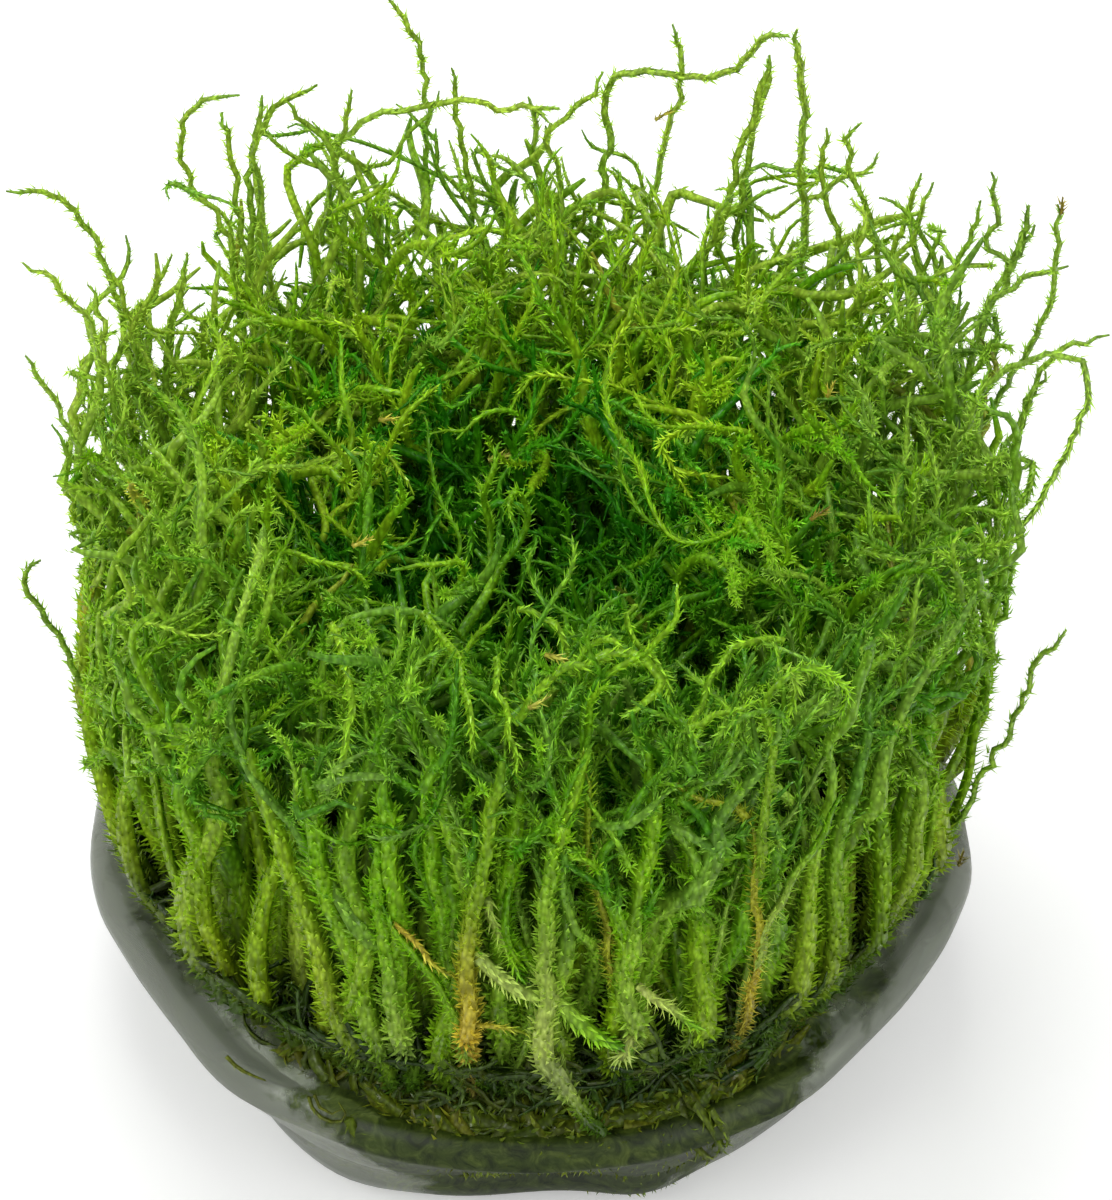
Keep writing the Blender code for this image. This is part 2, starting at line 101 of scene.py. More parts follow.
# Long shoots that leave the cushion: width in millimetres, then the points that each runs through.
LONG_SHOOTS = (
    (0.40, ((-26, 12.5, 44), (-28.2, 12, 50), (-29.3, 12, 54.4), (-29.8, 12, 57.2), (-31, 11, 60.4), (-33, 10, 62.4),
        (-35.2, 9, 63.2))),
    (0.40, ((-27.5, 6, 44), (-29, 6, 50), (-29.6, 6, 53.5), (-31, 6, 56.1), (-32.4, 5, 58.8), (-34, 5, 60.2))),
    (0.38, ((-29.5, 0, 42), (-31, 0, 49.6), (-32.4, 0, 53.4), (-33.7, 0, 56.2))),
    (0.40, ((-20.5, 20, 43), (-21, 20, 49), (-22, 20, 52.6), (-23.5, 20.2, 55), (-24.3, 20.2, 58), (-23.8, 20, 61),
        (-22.2, 19.8, 62.9), (-19.8, 19.6, 63.3))),
    (0.42, ((-30, -3.5, 26), (-33.2, -3, 34.9), (-34.5, -3, 37.6), (-34.6, -3, 39.8), (-33.4, -3.2, 40.6))),
    (0.40, ((-7.5, 30, 43), (-7.3, 31, 52.4), (-7.2, 31, 56), (-7.6, 30.2, 59.8), (-8.6, 29.6, 62.4), (-9.8, 29, 64.8))),
    (0.50, ((5, 29.5, 43), (5.6, 30, 53), (5.4, 29.8, 56), (6.4, 29.3, 57.9), (8.6, 28.8, 58.3), (12.2, 28.2, 58.2),
        (15, 27.6, 60), (16.8, 26.6, 63.2), (18.3, 25.6, 63.9))),
    (0.56, ((19.6, 25, 40), (19.9, 25.2, 48), (19.4, 25.2, 53), (19.6, 25, 57.1), (19.1, 24.8, 61.4), (18.8, 24.6, 65.2))),
    (0.40, ((29.5, 7.5, 38), (32, 7.2, 45), (34.4, 6.6, 50.6), (35.6, 6.2, 54.6), (36, 6, 59), (35.7, 6, 64.4))),
    (0.44, ((27.5, 3, 40), (29.6, 2, 47), (31, 1.4, 51.5), (32.2, 1, 54), (34.4, 0.6, 55.8), (37.2, 0.2, 55.6),
        (38.1, -0.6, 53.6), (37.5, -1, 50.5), (36.2, -1.2, 46.9), (34.6, -1.4, 43), (33.4, -1.6, 40.6))),
    (0.40, ((28, -9.4, 14), (31.4, -9.2, 25), (34, -9, 31.9), (34.9, -8.6, 36.2), (36.9, -8.2, 38.7))),
    (0.38, ((33.6, 2.5, 47), (35.3, 4, 51.6), (36.4, 4, 53.4), (38.1, 4, 53.8), (39.7, 4, 54.7))),
    (0.42, ((25.6, 19, 38), (27, 20, 42), (26.5, 20, 45.7), (25.9, 20, 48.3), (26.6, 20, 52.5), (27.3, 20, 54.7),
        (27.6, 20, 56.2))),
    (0.38, ((25.8, 19, 49.1), (27.3, 19, 51.5), (27.6, 19, 54.2), (28.4, 19, 56.2))),
    (0.38, ((29, 14, 44), (29.6, 15, 49.8), (30.3, 15, 52.9), (31.1, 15, 55.5), (31.4, 15, 57.7))),
    (0.40, ((31.6, 12, 48), (33.4, 12, 54.7), (31.6, 12, 56.1), (32.3, 12, 57.9), (32.2, 12, 60.1), (31.7, 12, 62.5))),
    (0.52, ((30.4, 10, 44), (32, 10, 52.9), (33.3, 10, 54.7), (33.3, 10, 56.3), (33.9, 10, 58.6), (34.2, 10, 61.2))),
    (0.44, ((33.3, 10, 56.3), (34.3, 10, 58.2), (34.7, 10, 59.5))),
    (0.40, ((31, 8, 51), (31.8, 8, 54.5), (33.1, 8, 55.4), (34.7, 8, 57), (37, 8, 57.5))),
    (0.42, ((24.5, 21.5, 38), (23.7, 22, 43.2), (23, 22, 45.9), (21.4, 22, 50.9), (20.7, 23, 53.3), (21, 23, 57.9))),
    (0.42, ((25.6, 21, 42), (24.9, 21, 48.6), (23.8, 21, 52.6), (22.8, 21, 55.7), (22.3, 21, 58.8), (23.3, 21, 59.9))),
    (0.38, ((20, 22.5, 52), (22, 22, 53.9), (23.6, 22, 54.8), (24.6, 22, 55.8), (24.6, 22, 56.4))),
    (0.42, ((8.8, 29, 44), (9.5, 29, 51.3), (10.7, 29, 55.8), (10.8, 29, 59.3), (10.2, 28.5, 62.8))),
    (0.50, ((15, 27, 44), (15.5, 27, 50.6), (16, 27, 54.6), (16.8, 27, 58.6), (16.9, 27, 60.8))),
    (0.50, ((13.6, 26, 44), (14.8, 26, 51.8), (15.4, 26, 54.5), (16.2, 26, 57.2), (16.7, 26, 59.8), (17, 26, 62))),
    (0.40, ((-4, 30, 41), (-4.2, 30, 46.9), (-4.7, 30, 51.5), (-5.2, 30, 55.9), (-5.4, 30, 57.9))),
    (0.40, ((2.6, 29, 43), (2.3, 29, 49.5), (1.2, 29, 52.2), (3, 29, 54.5), (4.4, 29, 56.2), (5.4, 29, 58.3))),
    (0.44, ((-14, 26.5, 53.6), (-11, 28, 55), (-7.4, 29, 55.2), (-4.1, 28, 56.6), (-1.9, 28, 55.7), (0.9, 28, 56.1),
        (2.3, 28, 55.8))),
    (0.42, ((-13, 26, 44), (-13.4, 26, 50.9), (-14, 26, 54.5), (-16.1, 26, 56.3), (-17.1, 26, 58.2))),
    (0.40, ((-14.8, 26, 45), (-14.1, 27, 51.5), (-12.9, 27, 55.5), (-12.4, 27, 58.2))),
    (0.44, ((-19.6, 20, 43), (-20.3, 21, 50.4), (-20.5, 21, 54.8), (-20.9, 21, 58.3), (-21.2, 21, 60.8))),
    (0.46, ((-19.8, 21, 44), (-19.5, 23, 55.9), (-18, 23, 59.5), (-15.8, 23, 61), (-14.6, 23, 61.7))),
    (0.40, ((-25.6, 12, 42), (-25, 13, 47.8), (-24.3, 13, 50.5), (-23.9, 13, 52.7), (-23.5, 13, 54.7))),
    (0.38, ((-29, 9, 42), (-28.7, 10, 47.5), (-26.7, 10, 52), (-25.2, 10, 55.1), (-24.3, 10, 56.9))),
    (0.40, ((-27, 11, 42), (-27.6, 11, 49.4), (-28, 11, 52.5), (-28.6, 11, 54.3), (-29.4, 11, 55.5))),
    (0.42, ((-18.2, 21, 44), (-18.7, 22, 52.3), (-19.4, 22, 56.7), (-18.2, 22, 61.1), (-18.4, 22, 61.5))),
    (0.38, ((-28, 5, 44), (-28.6, 5, 49.9), (-28.9, 5, 52.6), (-29.3, 5, 56.1), (-29.7, 5, 58.3))),
    (0.38, ((31, 3, 36), (32.8, 3, 42.5), (33.4, 3, 46.2), (34.5, 3, 49.8), (35.4, 3, 52.3))),
    (0.38, ((31, 0, 32), (32.2, 0, 37.8), (33.2, 0, 41.5), (33.8, 0, 44.2), (33.5, 0, 46.5))),
)

# Twigs that arch over the hollow and its near edge.
HOLLOW_TWIGS = (
    (0.40, ((4, 9.5, 43), (5.5, 8.6, 44.8), (7.6, 7, 44.8), (9.5, 5.5, 45), (11.6, 2, 45), (12.4, 0, 44))),
    (0.38, ((6.1, 6.2, 43.4), (7, 4.7, 42.4), (7.9, 2.9, 41.6), (7.2, 1.4, 39.5), (6.5, -0.7, 37.2))),
    (0.38, ((9.1, 5.1, 44.6), (9.5, 2.6, 43.4), (11.4, -1.6, 43.8), (13.4, -7.7, 46.2))),
    (0.40, ((9.3, 1.4, 42.4), (9.8, -0.8, 42), (10.5, -4, 42.8), (11.8, -5.9, 44.4), (13.4, -8.4, 46.6), (15.5, -12.2, 49.9))),
    (0.38, ((13.4, -8.6, 46.6), (13.6, -15.9, 50.3), (13.9, -21.1, 52.5))),
    (0.46, ((-0.1, 7.6, 41.6), (-1.2, 7, 40.4), (-1.8, 6.4, 39.6), (-1.7, 5.1, 37.4), (-1.8, 3.4, 35.2), (-2, 3, 31))),
    (0.48, ((0.8, 4.2, 36.8), (-0.1, 3.2, 35), (-0.7, 1.5, 32.4), (-1.2, 0.6, 28))),
    (0.42, ((-0.5, -20, 51.2), (0.7, -20, 50.6), (1.9, -21, 50.5), (3.3, -22, 49), (3.6, -22.6, 46))),
    (0.42, ((7.3, -21, 52.5), (6.6, -22, 52.2), (7, -23, 51.8), (7.7, -24, 51.6), (9, -25, 50.4), (9.6, -25.6, 47))),
    (0.40, ((2.9, -26.7, 51.6), (3.6, -25.6, 52), (4.5, -24.9, 52.5), (5.3, -24.6, 52.7), (6, -24.9, 52.6), (7, -25.6, 51.4))),
    (0.55, ((-0.6, -29.2, 49.6), (0.6, -28.5, 51.4), (2.3, -27.1, 52.2), (4.9, -26.1, 52.5), (7.3, -25.8, 52.5),
        (8.7, -26.9, 52.2), (9, -27.8, 51.6), (7.7, -28.9, 51), (6.2, -29.4, 50.4))),
    (0.40, ((-10.5, 5.4, 43.6), (-9.4, 5.4, 42.6), (-8.8, 5.1, 41.7), (-8.8, 4.2, 40.5), (-9.8, 2.6, 40.1), (-11.7, 0.8, 41))),
    (0.40, ((-3.3, 10.3, 45), (-4.3, 9.4, 44.4), (-5.4, 8.8, 44), (-6.1, 9.1, 44.6), (-6.6, 9.5, 45.2))),
    (0.42, ((-5.2, 5.7, 39.6), (-5.7, 4.7, 38.7), (-6.4, 3.6, 37.7), (-7.5, 1.8, 36.8), (-8, 1, 34))),
    (0.46, ((-4.4, 4.8, 38), (-4.1, 4.2, 37), (-4.1, 3.5, 36), (-4.8, 2.1, 34.4), (-5, 1.6, 30))),
    (0.48, ((-6.7, -20, 50.9), (-5.7, -21, 50.7), (-4.9, -23, 50.9), (-4.3, -25, 50.9), (-3.8, -27, 50.9), (-3.4, -29, 50.7),
        (-3.4, -30.2, 47.5))),
    (0.44, ((-1.8, -25.7, 52.2), (-1.6, -28.3, 51.8), (-1, -29.5, 50.8), (-0.7, -30.8, 49.4), (-0.4, -31.2, 46.5))),
    (0.50, ((16.8, -23.7, 51.9), (15.2, -24.1, 52.3), (13.6, -24.7, 52.2), (12.1, -26.9, 51.5), (10.9, -29.3, 49.9),
        (10.4, -30, 47))),
    (0.42, ((10.5, -30.7, 50.6), (11.5, -30.6, 51.2), (12.6, -30.3, 51.4), (15.6, -29.3, 51.6))),
    (0.38, ((12.6, 2.5, 46.6), (14.3, 0.7, 47.5), (15.9, -1.9, 48.5), (17.2, -4.2, 49.6))),
    (0.38, ((15.4, -2.8, 47.9), (15.5, -6.5, 48.4), (15.9, -12.2, 50.4), (16.2, -16.9, 52.1))),
    (0.50, ((-12.6, -22.3, 52), (-11.6, -24.9, 51.8), (-11.1, -28, 50.4), (-11.4, -29.6, 48), (-12, -29.8, 44))),
)

# Shoots that stand out on the front: girth at foot and tip in millimetres, paleness, dryness at foot and tip, their points.
FRONT_SHOOTS = (
    (1.02, 0.62, 0.85, 0.05, 0.03, ((5.2, -30.6, 12.6), (3.6, -32.4, 16.8), (2.3, -33.2, 20.6), (1.3, -33.3, 22.6),
        (1.2, -33.3, 25.8), (1.5, -33.3, 29), (1.3, -33.3, 32.5), (1.3, -33.3, 36.1), (1.7, -33.3, 40.2), (2.3, -33.2, 43.7),
        (2.9, -33, 46.8), (4.2, -32, 50))),
    (0.90, 0.66, 0.10, 1.00, 0.10, ((-4, -30.2, 11.5), (-4.2, -31.8, 19), (-4, -32.7, 25), (-3.7, -32.7, 26.8),
        (-3.9, -32.7, 28.7), (-3.9, -32.7, 31.9), (-3.6, -32.7, 34.5), (-3.1, -32.8, 37.6), (-2.6, -32.8, 41.5),
        (-2.2, -32.6, 45), (-1.4, -31.6, 48.5))),
    (0.72, 0.50, 0.35, 0.00, 0.00, ((-3, -30.2, 11.5), (-3.9, -32, 19), (-4.3, -32.5, 23.5), (-4.7, -32.5, 25.2),
        (-5.4, -32.3, 27.6), (-6.1, -32.2, 29.8), (-7.4, -32, 31.6), (-8.8, -31.6, 33.4), (-9.9, -30.8, 35.8))),
    (1.00, 0.70, 0.55, 0.00, 0.00, ((-8.2, -29.4, 11.5), (-8.5, -30.8, 18), (-8.7, -31, 23.1), (-9, -30.9, 26.1),
        (-9.1, -30.9, 29.5), (-9.4, -30.8, 32.6), (-9.8, -30.6, 36), (-9.6, -30.4, 40))),
    (1.05, 0.70, 0.40, 0.00, 0.00, ((7.6, -29.6, 11.5), (7.4, -31.4, 18), (7.2, -31.8, 25.3), (6.8, -31.9, 27.9),
        (6.5, -31.9, 30.6), (6.9, -31.9, 32.5), (7.3, -31.8, 35.2), (7.6, -31.7, 38.1), (8.1, -31.6, 41.1),
        (8.3, -31.4, 44.5), (8, -30.6, 48.5))),
    (0.58, 0.45, 0.10, 0.45, 0.25, ((5.8, -31.4, 28), (5.5, -31.9, 33.6), (5.2, -32, 35.8), (4.6, -32.1, 38.3),
        (4.2, -32.1, 40.4), (4.1, -32.1, 43), (4.2, -32.1, 46.5), (3.8, -31.6, 49.5))),
    (0.48, 0.40, 0.25, 0.00, 0.00, ((4.4, -32.3, 40.3), (5.1, -32.3, 41.5), (5.5, -32.1, 42.9), (5.4, -31.9, 44))),
    (0.62, 0.45, 0.20, 0.80, 0.44, ((15, -26.8, 12.5), (15.6, -28.6, 20), (15.4, -29.2, 27.2), (15.6, -29.1, 29.7),
        (15.3, -29.2, 32.6), (15, -29.4, 35.6), (15.2, -29.3, 38.3), (15.1, -29.3, 40.5), (14.1, -29.8, 42.3),
        (12.6, -30.5, 43.9), (10.9, -31.1, 45), (9.8, -31.2, 46.2))),
    (0.72, 0.50, 0.55, 0.00, 0.00, ((15.5, -29.2, 27.5), (15.7, -29.2, 29.8), (16.5, -28.9, 31.5), (17.1, -28.5, 33.8),
        (18.2, -27.8, 35.2), (19.4, -27, 36.9), (20.8, -25.8, 40))),
    (0.66, 0.74, 0.75, 0.00, 0.00, ((-4.3, -32.2, 32.6), (-3.3, -32.5, 31.7), (-2.2, -32.6, 30.2), (-1.1, -32.6, 29),
        (0.4, -32.5, 28.2), (1.3, -32.5, 27.7), (2.3, -32.5, 27), (3.4, -32.5, 25.5), (4.5, -32.4, 24), (5.7, -32.2, 22.8),
        (7.2, -31.9, 22.2))),
    (0.60, 0.55, 0.60, 0.00, 0.00, ((-2.4, -31.9, 36.4), (-2.2, -32.1, 34.7), (-1.3, -32.2, 32.7), (-0.7, -32.2, 30.2),
        (0, -32.2, 28.6))),
    (0.80, 0.60, 0.75, 0.10, 0.06, ((7, -31.9, 23.4), (6.8, -32.3, 22.2), (6.6, -32.3, 20.4), (6.2, -32.4, 18.5),
        (5.6, -32.3, 17.2))),
    (0.58, 0.66, 0.90, 0.05, 0.03, ((7.4, -31.9, 28.3), (8.2, -32.2, 27.6), (9.4, -31.9, 26.5), (10.5, -31.5, 25),
        (11.7, -31.1, 23.4))),
    (0.36, 0.34, 0.15, 0.75, 0.41, ((-4.3, -32.6, 25.2), (-3.8, -32.8, 25.3), (-2.2, -32.9, 25.5), (-0.7, -32.9, 25.2),
        (0.5, -32.8, 24.3))),
    (0.36, 0.36, 0.05, 0.90, 0.50, ((-9, -31.2, 33.8), (-7.4, -31.9, 32.6), (-6, -32.3, 30.8), (-5, -32.5, 29.9),
        (-4, -32.4, 29.6))),
    (0.66, 0.42, 0.10, 0.00, 0.00, ((15.4, -29.4, 36), (15.5, -29.7, 41.5), (15.7, -29.6, 44.1), (16, -29.4, 47.4),
        (15.4, -29.7, 50.9), (15.6, -29.7, 53), (16.6, -29.1, 54), (18.4, -28, 53.4), (20, -26.9, 51.7), (20.9, -26.2, 49.4),
        (20.4, -26.5, 48.2), (19.2, -27.4, 48.1))),
    (0.48, 0.40, 0.10, 0.00, 0.00, ((16.7, -28.7, 54.1), (17.7, -28.1, 51.5), (17.1, -28.5, 49.7), (16.2, -29, 48.4))),
    (0.50, 0.40, 0.15, 0.00, 0.00, ((1, -24, 45.1), (2.3, -23, 47.7), (4.9, -22, 49), (8.2, -21, 47.2), (9.6, -21, 44.6))),
    (1.10, 0.85, 0.10, 0, 0, ((-8.6, -29.6, 10.5), (-8.5, -30.4, 25.4), (-8.4, -30.5, 32.6), (-8.7, -30.4, 35.2),
        (-9, -30.3, 38.7), (-8.8, -30.4, 42.1), (-9.1, -30.3, 45.6))),
    (1.10, 0.80, 0.15, 0.05, 0, ((-9.6, -29.4, 10.5), (-10.4, -30.2, 21.2), (-10.6, -30.1, 23.2), (-11.3, -29.8, 28.2),
        (-13, -29.1, 33.4), (-13.7, -28.8, 37.2), (-14, -28.6, 41.3), (-14.3, -28.5, 44.9))),
    (0.95, 0.75, 0.10, 0.25, 0.1, ((-12, -28, 10.5), (-13.2, -28.7, 23.6), (-13.9, -28.4, 28.1), (-14.9, -27.8, 32.1),
        (-16.2, -27.1, 37), (-17.5, -26.3, 41), (-18, -26, 44.3))),
    (1.05, 0.75, 0.20, 0, 0, ((-1.6, -30, 10.5), (-1.8, -31.3, 26.3), (-1.7, -31.4, 31.1), (-1.5, -31.4, 34.4),
        (-1, -31.4, 38.4), (-0.6, -31.4, 42), (-0.2, -31.4, 45.8))),
    (0.80, 0.62, 0.10, 0, 0, ((-3.4, -31.6, 33), (-3.5, -31.6, 35.6), (-3.8, -31.6, 37.7), (-4.6, -31.5, 41.3),
        (-5.7, -31.3, 45.8), (-6, -31, 49.2))),
    (1.20, 0.85, 0.05, 0.1, 0, ((12.6, -28, 10.5), (12.1, -29, 21.9), (11.6, -29.2, 28.9), (11.4, -29.3, 33.7),
        (11, -29.4, 37.8), (10.2, -29.7, 42.3), (9.5, -29.9, 46.2))),
    (1.20, 0.85, 0.10, 0, 0, ((-4.6, -29.6, 10.5), (-4.7, -30.6, 24.6), (-5.1, -30.6, 30.3), (-5.6, -30.5, 34.9),
        (-6.1, -30.4, 39.4), (-6.5, -30.3, 43.9))),
    (0.85, 0.62, 0.15, 0.1, 0, ((3, -30.6, 16), (2.3, -31.5, 22.6), (1.5, -31.6, 27.5), (0.3, -31.6, 30.9),
        (-0.9, -31.6, 32.7), (-1.7, -31.6, 34.6))),
)

# Withered scraps: where each lies, which way it points, how brown it is.
SCRAPS = (
    ((36.0, 6.0, 63.6), (0.0, 0.0, 1.0), 0.9),
    ((9.1, 27.0, 55.5), (0.7, 0.0, 0.7), 0.8),
    ((31.0, 12.0, 46.4), (0.1, 0.0, 1.0), 1.0),
    ((30.2, -12.4, 20.2), (0.2, 0.0, 1.0), 1.0),
    ((19.0, -10.0, 50.2), (0.6, 0.3, 0.4), 1.0),
    ((-2.7, 6.6, 41.2), (0.9, 0.2, 0.4), 0.1),
    ((0.3, -29.9, 51.6), (0.9, 0.3, 0.6), 0.1),
    ((1.3, -25.9, 52.6), (1.0, 0.0, -0.2), 0.3),
    ((-10.3, 6.6, 44.9), (1.0, 0.1, 0.1), 0.5),
    ((-11.5, -12.0, 49.6), (0.8, 0.2, 0.5), 0.4),
    ((20.6, 3.0, 50.0), (0.3, 0.1, 0.9), 0.5),
)

# Places on the gel that stay bare, as distances across the plan and a radius, all in millimetres.
CLEARINGS = ((3.4, -29.0, 1.9), (10.0, -29.0, 0.8), (-9.5, -26.0, 1.2), (-17.0, -24.0, 1.0))

# What shows one by one at the gel's wall: width in millimetres, tone, dryness and leafiness, then the points.
LOOSE_BITS = (
    (0.70, 0.55, 0, 1, ((11.4, -28.6, 13.2), (12.4, -28.7, 11.6), (13.1, -28.8, 9.9), (13.5, -28.3, 8.4), (13.5, -27.6, 7.2))),
    (0.55, 0.80, 0, 1, ((12.6, -28.4, 12.4), (13.4, -28.5, 10.8), (13.9, -28.4, 9.4), (13.9, -27.9, 8.2))),
    (0.60, 0.45, 0.1, 1, ((10.9, -29.3, 10.6), (11.9, -29.3, 9.2), (12.6, -28.9, 8), (12.5, -28.3, 7.2))),
    (0.26, 0.80, 0.25, 0.3, ((-15, -27.7, 13), (-14.7, -27.9, 11.9), (-13.9, -28.3, 11.3), (-12.9, -28.8, 11.6),
        (-12.4, -29, 12.6), (-12.9, -28.6, 13.4))),
    (0.24, 0.90, 0.35, 0.3, ((-14.6, -27.8, 13.3), (-14.2, -28.1, 12.3), (-13.4, -28.5, 12.1), (-12.7, -28.8, 12.9))),
    (0.70, 0.90, 0, 1, ((-12.3, -28.8, 12), (-11.9, -29.1, 11.1), (-11.2, -29.4, 10.3), (-10.6, -29.5, 9.8))),
    (0.45, 0.60, 0.5, 0.8, ((-9.4, -30, 10.6), (-8.8, -30.2, 10), (-8.2, -30.3, 9.7))),
    (0.30, 0.80, 0.3, 0.6, ((-20.8, -23.9, 13), (-20, -24.6, 12.6), (-19, -25.4, 12.7), (-18, -26.1, 12.9))),
)

# How far behind the wall the strands stay at each bearing, in millimetres.
SET_BACK = (
    (-180.0, 1.8), (-166.0, 3.0), (-158.0, 4.6), (-125.0, 4.4), (-112.0, 3.0), (-102.0, 0.2), (-64.0, 0.1), (-56.0, 2.4),
    (-44.0, 3.8), (-28.0, 3.8), (-14.0, 2.2), (0.0, 1.6), (60.0, 2.6), (120.0, 2.6), (180.0, 1.8),
)
# Radius of the gel above its brim at each height, in millimetres.
SHOULDER = ((10.0, 32.0), (11.0, 31.7), (12.0, 30.6), (13.0, 29.0), (14.0, 27.6), (15.0, 25.4))
# How high the wet mat climbs over the gel at each bearing, in millimetres.
MAT_CLIMB = (
    (-180.0, 16.0), (-150.0, 18.5), (-110.0, 19.0), (-60.0, 18.8), (-30.0, 18.0), (0.0, 15.5), (90.0, 14.5), (180.0, 16.0),
)
# How far out the mat and the feet of the moss stand at each height, in millimetres.
FOOT_REACH = ((10.0, 27.0), (14.0, 27.6), (17.0, 29.0), (20.0, 31.2), (22.5, 33.0), (25.0, 40.0))
MAT_REACH = ((11.0, 30.0), (13.0, 29.6), (15.0, 29.4), (17.0, 30.4), (20.0, 32.2))

# How many strands lie in the gel, how many wet shoots are matted over it, and how many make the dark floor between the
# feet, which is painted shade.
STRAND_COUNT = 1050
MAT_COUNT = 1000
MAT_FLOOR_COUNT = 300
# How far from the middle the feet may stand, and how far out shoots, twigs, spurs and the mat's floor may grow.
FEET_WITHIN = 31.2
SHOOT_WALL = 30.3
TWIG_WALL = 30.5
SPUR_WALL = 30.6
MAT_FLOOR_WALL = 26.5
NO_WALL = 1000.0
# The camera stands where the photograph's did and looks down at about 42 degrees. Metres, and millimetres for the lens.
CAMERA_PLACE = (0.00203, -0.29726, 0.30169)
CAMERA_AIM = (0.00203, 0.0, 0.03404)
CAMERA_LENS = 171.6
# Lamps: place and width in metres, and power as a share of the softbox setting. All point at the lower moss.
LAMPS = (
    ("softbox", (-0.38, -0.32, 0.48), 0.38, 1.80),
    ("fill", (0.45, -0.42, 0.35), 0.42, 1.30),
    ("rim", (-0.05, 0.20, 0.40), 0.25, 1.30),
)
LAMP_AIM = (0.0, 0.0, 0.03)
# Half the width of the floor, in metres, and how far it lies below the gel's foot so that the two don't flicker.
FLOOR_HALF = 3.0
FLOOR_DROP = 0.0001
WHITE = (1.0, 1.0, 1.0, 1.0)
BLACK = (0.0, 0.0, 0.0, 1.0)
# Where the moss in the gel comes up to its surface: the bearings between which it begins, and ends.
FRONT_BEARINGS = ((-112.0, -102.0), (-66.0, -56.0))


# Sizes and colours that a user would change.


def size_setting(name, description, millimetres):
    return FloatProperty(name=name, description=description, default=millimetres * MM, unit="LENGTH", subtype="DISTANCE")


def colour_setting(name, description, colour):
    return FloatVectorProperty(name=name, description=description, default=colour, subtype="COLOR", min=0.0, max=1.0)


class GelSettings(bpy.types.PropertyGroup):
    radius: size_setting("Brim Radius", "Radius of the gel at its brim", GEL_TOP_RADIUS)
    height: size_setting("Height", "Thickness of the gel", (GEL_BOX[1][2] - GEL_BOX[0][2]) / MM)
    lumps: size_setting("Lumps", "How far the set surface rises and falls", 0.35)
    tint: colour_setting("Tint", "Colour that light takes on in the gel", (0.66, 0.72, 0.62))
    density: FloatProperty(name="Density", description="How strongly the gel absorbs light, per metre", default=34.0, min=0.0)


class MossSettings(bpy.types.PropertyGroup):
    spacing: size_setting("Shoot Spacing", "Distance between the feet of two shoots", 2.02)
    girth: size_setting("Shoot Girth", "Radius of a shoot near its foot, leaves included", 0.98)
    tip_girth: size_setting("Twig Girth", "Radius of the fine upper twigs, leaves included", 0.42)
    seed: IntProperty(name="Seed", description="Another number grows another cushion", default=7)
    fresh: colour_setting("Fresh Green", "Colour of young leaves", (0.440, 0.880, 0.014))
    deep: colour_setting("Deep Green", "Colour of darker leaves", (0.110, 0.440, 0.004))
    olive: colour_setting("Olive", "Colour of old leaves near the gel", (0.560, 0.660, 0.016))
    pale: colour_setting("Pale Green", "Colour of bleached shoots", (0.740, 0.920, 0.210))
    golden: colour_setting("Golden", "Colour of dying stems", (0.950, 0.700, 0.080))


class StageSettings(bpy.types.PropertyGroup):
    floor: colour_setting("Floor", "Colour of the floor", (0.86, 0.86, 0.86))
    lamp: FloatProperty(name="Softbox Power", description="Power of the large lamp overhead", default=0.62, unit="POWER")
    sky: FloatProperty(name="Surrounding Light", description="Strength of the even light all round", default=0.62)


# Small helpers.


def smooth_step(low, high, value):
    share = min(1.0, max(0.0, (value - low) / (high - low)))
    return share * share * (3.0 - 2.0 * share)


def smooth_steps(low, high, values):
    return np.array([smooth_step(low, high, value) for value in values])


def between(table, value):
    """The value that a table of pairs gives between its entries."""
    return float(np.interp(value, [row[0] for row in table], [row[1] for row in table]))


def grown(point):
    """The growth of the cushion, which its solids follow too: it bellies out, spreads at the crown and sways."""
    x, y, z = point
    start = GEL_HEIGHT + 1.8
    rise = max(0.0, (z - start) / (CUSHION_HEIGHT - start))
    radius = math.hypot(x, y)
    out = BELLY_SPREAD * smooth_step(0.0, BELLY_SHARE, rise) + CROWN_SPREAD * rise * rise
    if radius > 0.0:
        rim = smooth_step(RIM_START_SHARE * GEL_TOP_RADIUS, GEL_TOP_RADIUS, radius)
        out += RIM_FLICK * rim * rise * rise / radius
    wave = 2.0 * math.pi / SWAY_LENGTH
    lean = SWAY * rise**SWAY_POWER
    lean_x = lean * math.sin(wave * (y + 0.4 * z))
    lean_y = lean * math.cos(wave * (0.8 * x - 0.5 * z))
    return (x * (1.0 + out) + lean_x, y * (1.0 + out) + lean_y, z)


def node(tree, kind, inputs=None, **settings):
    """Adds a node, sets its options, and feeds each named or numbered input from a value, a socket or a node's first output."""
    made = tree.nodes.new(kind)
    made.location = (200.0 * (len(tree.nodes) % 12), -260.0 * (len(tree.nodes) // 12))
    for name, value in settings.items():
        setattr(made, name, value)
    for name, value in (inputs or {}).items():
        if isinstance(value, bpy.types.Node):
            value = value.outputs[0]
        if isinstance(value, bpy.types.NodeSocket):
            tree.links.new(value, made.inputs[name])
        else:
            made.inputs[name].default_value = value
    return made


def maths(tree, kind, *values, clamp=False):
    """What a math node makes of the values or sockets given."""
    return node(tree, "ShaderNodeMath", dict(enumerate(values)), operation=kind, use_clamp=clamp).outputs[0]


def fitted(tree, value, low, high, start=0.0, end=1.0):
    """The value carried from one range to another, and held at its ends."""
    feeds = {"Value": value, "From Min": low, "From Max": high, "To Min": start, "To Max": end}
    return node(tree, "ShaderNodeMapRange", feeds).outputs[0]


def blended(tree, share, first, second):
    """A colour between two others."""
    return node(tree, "ShaderNodeMix", {0: share, 6: first, 7: second}, data_type="RGBA").outputs[2]


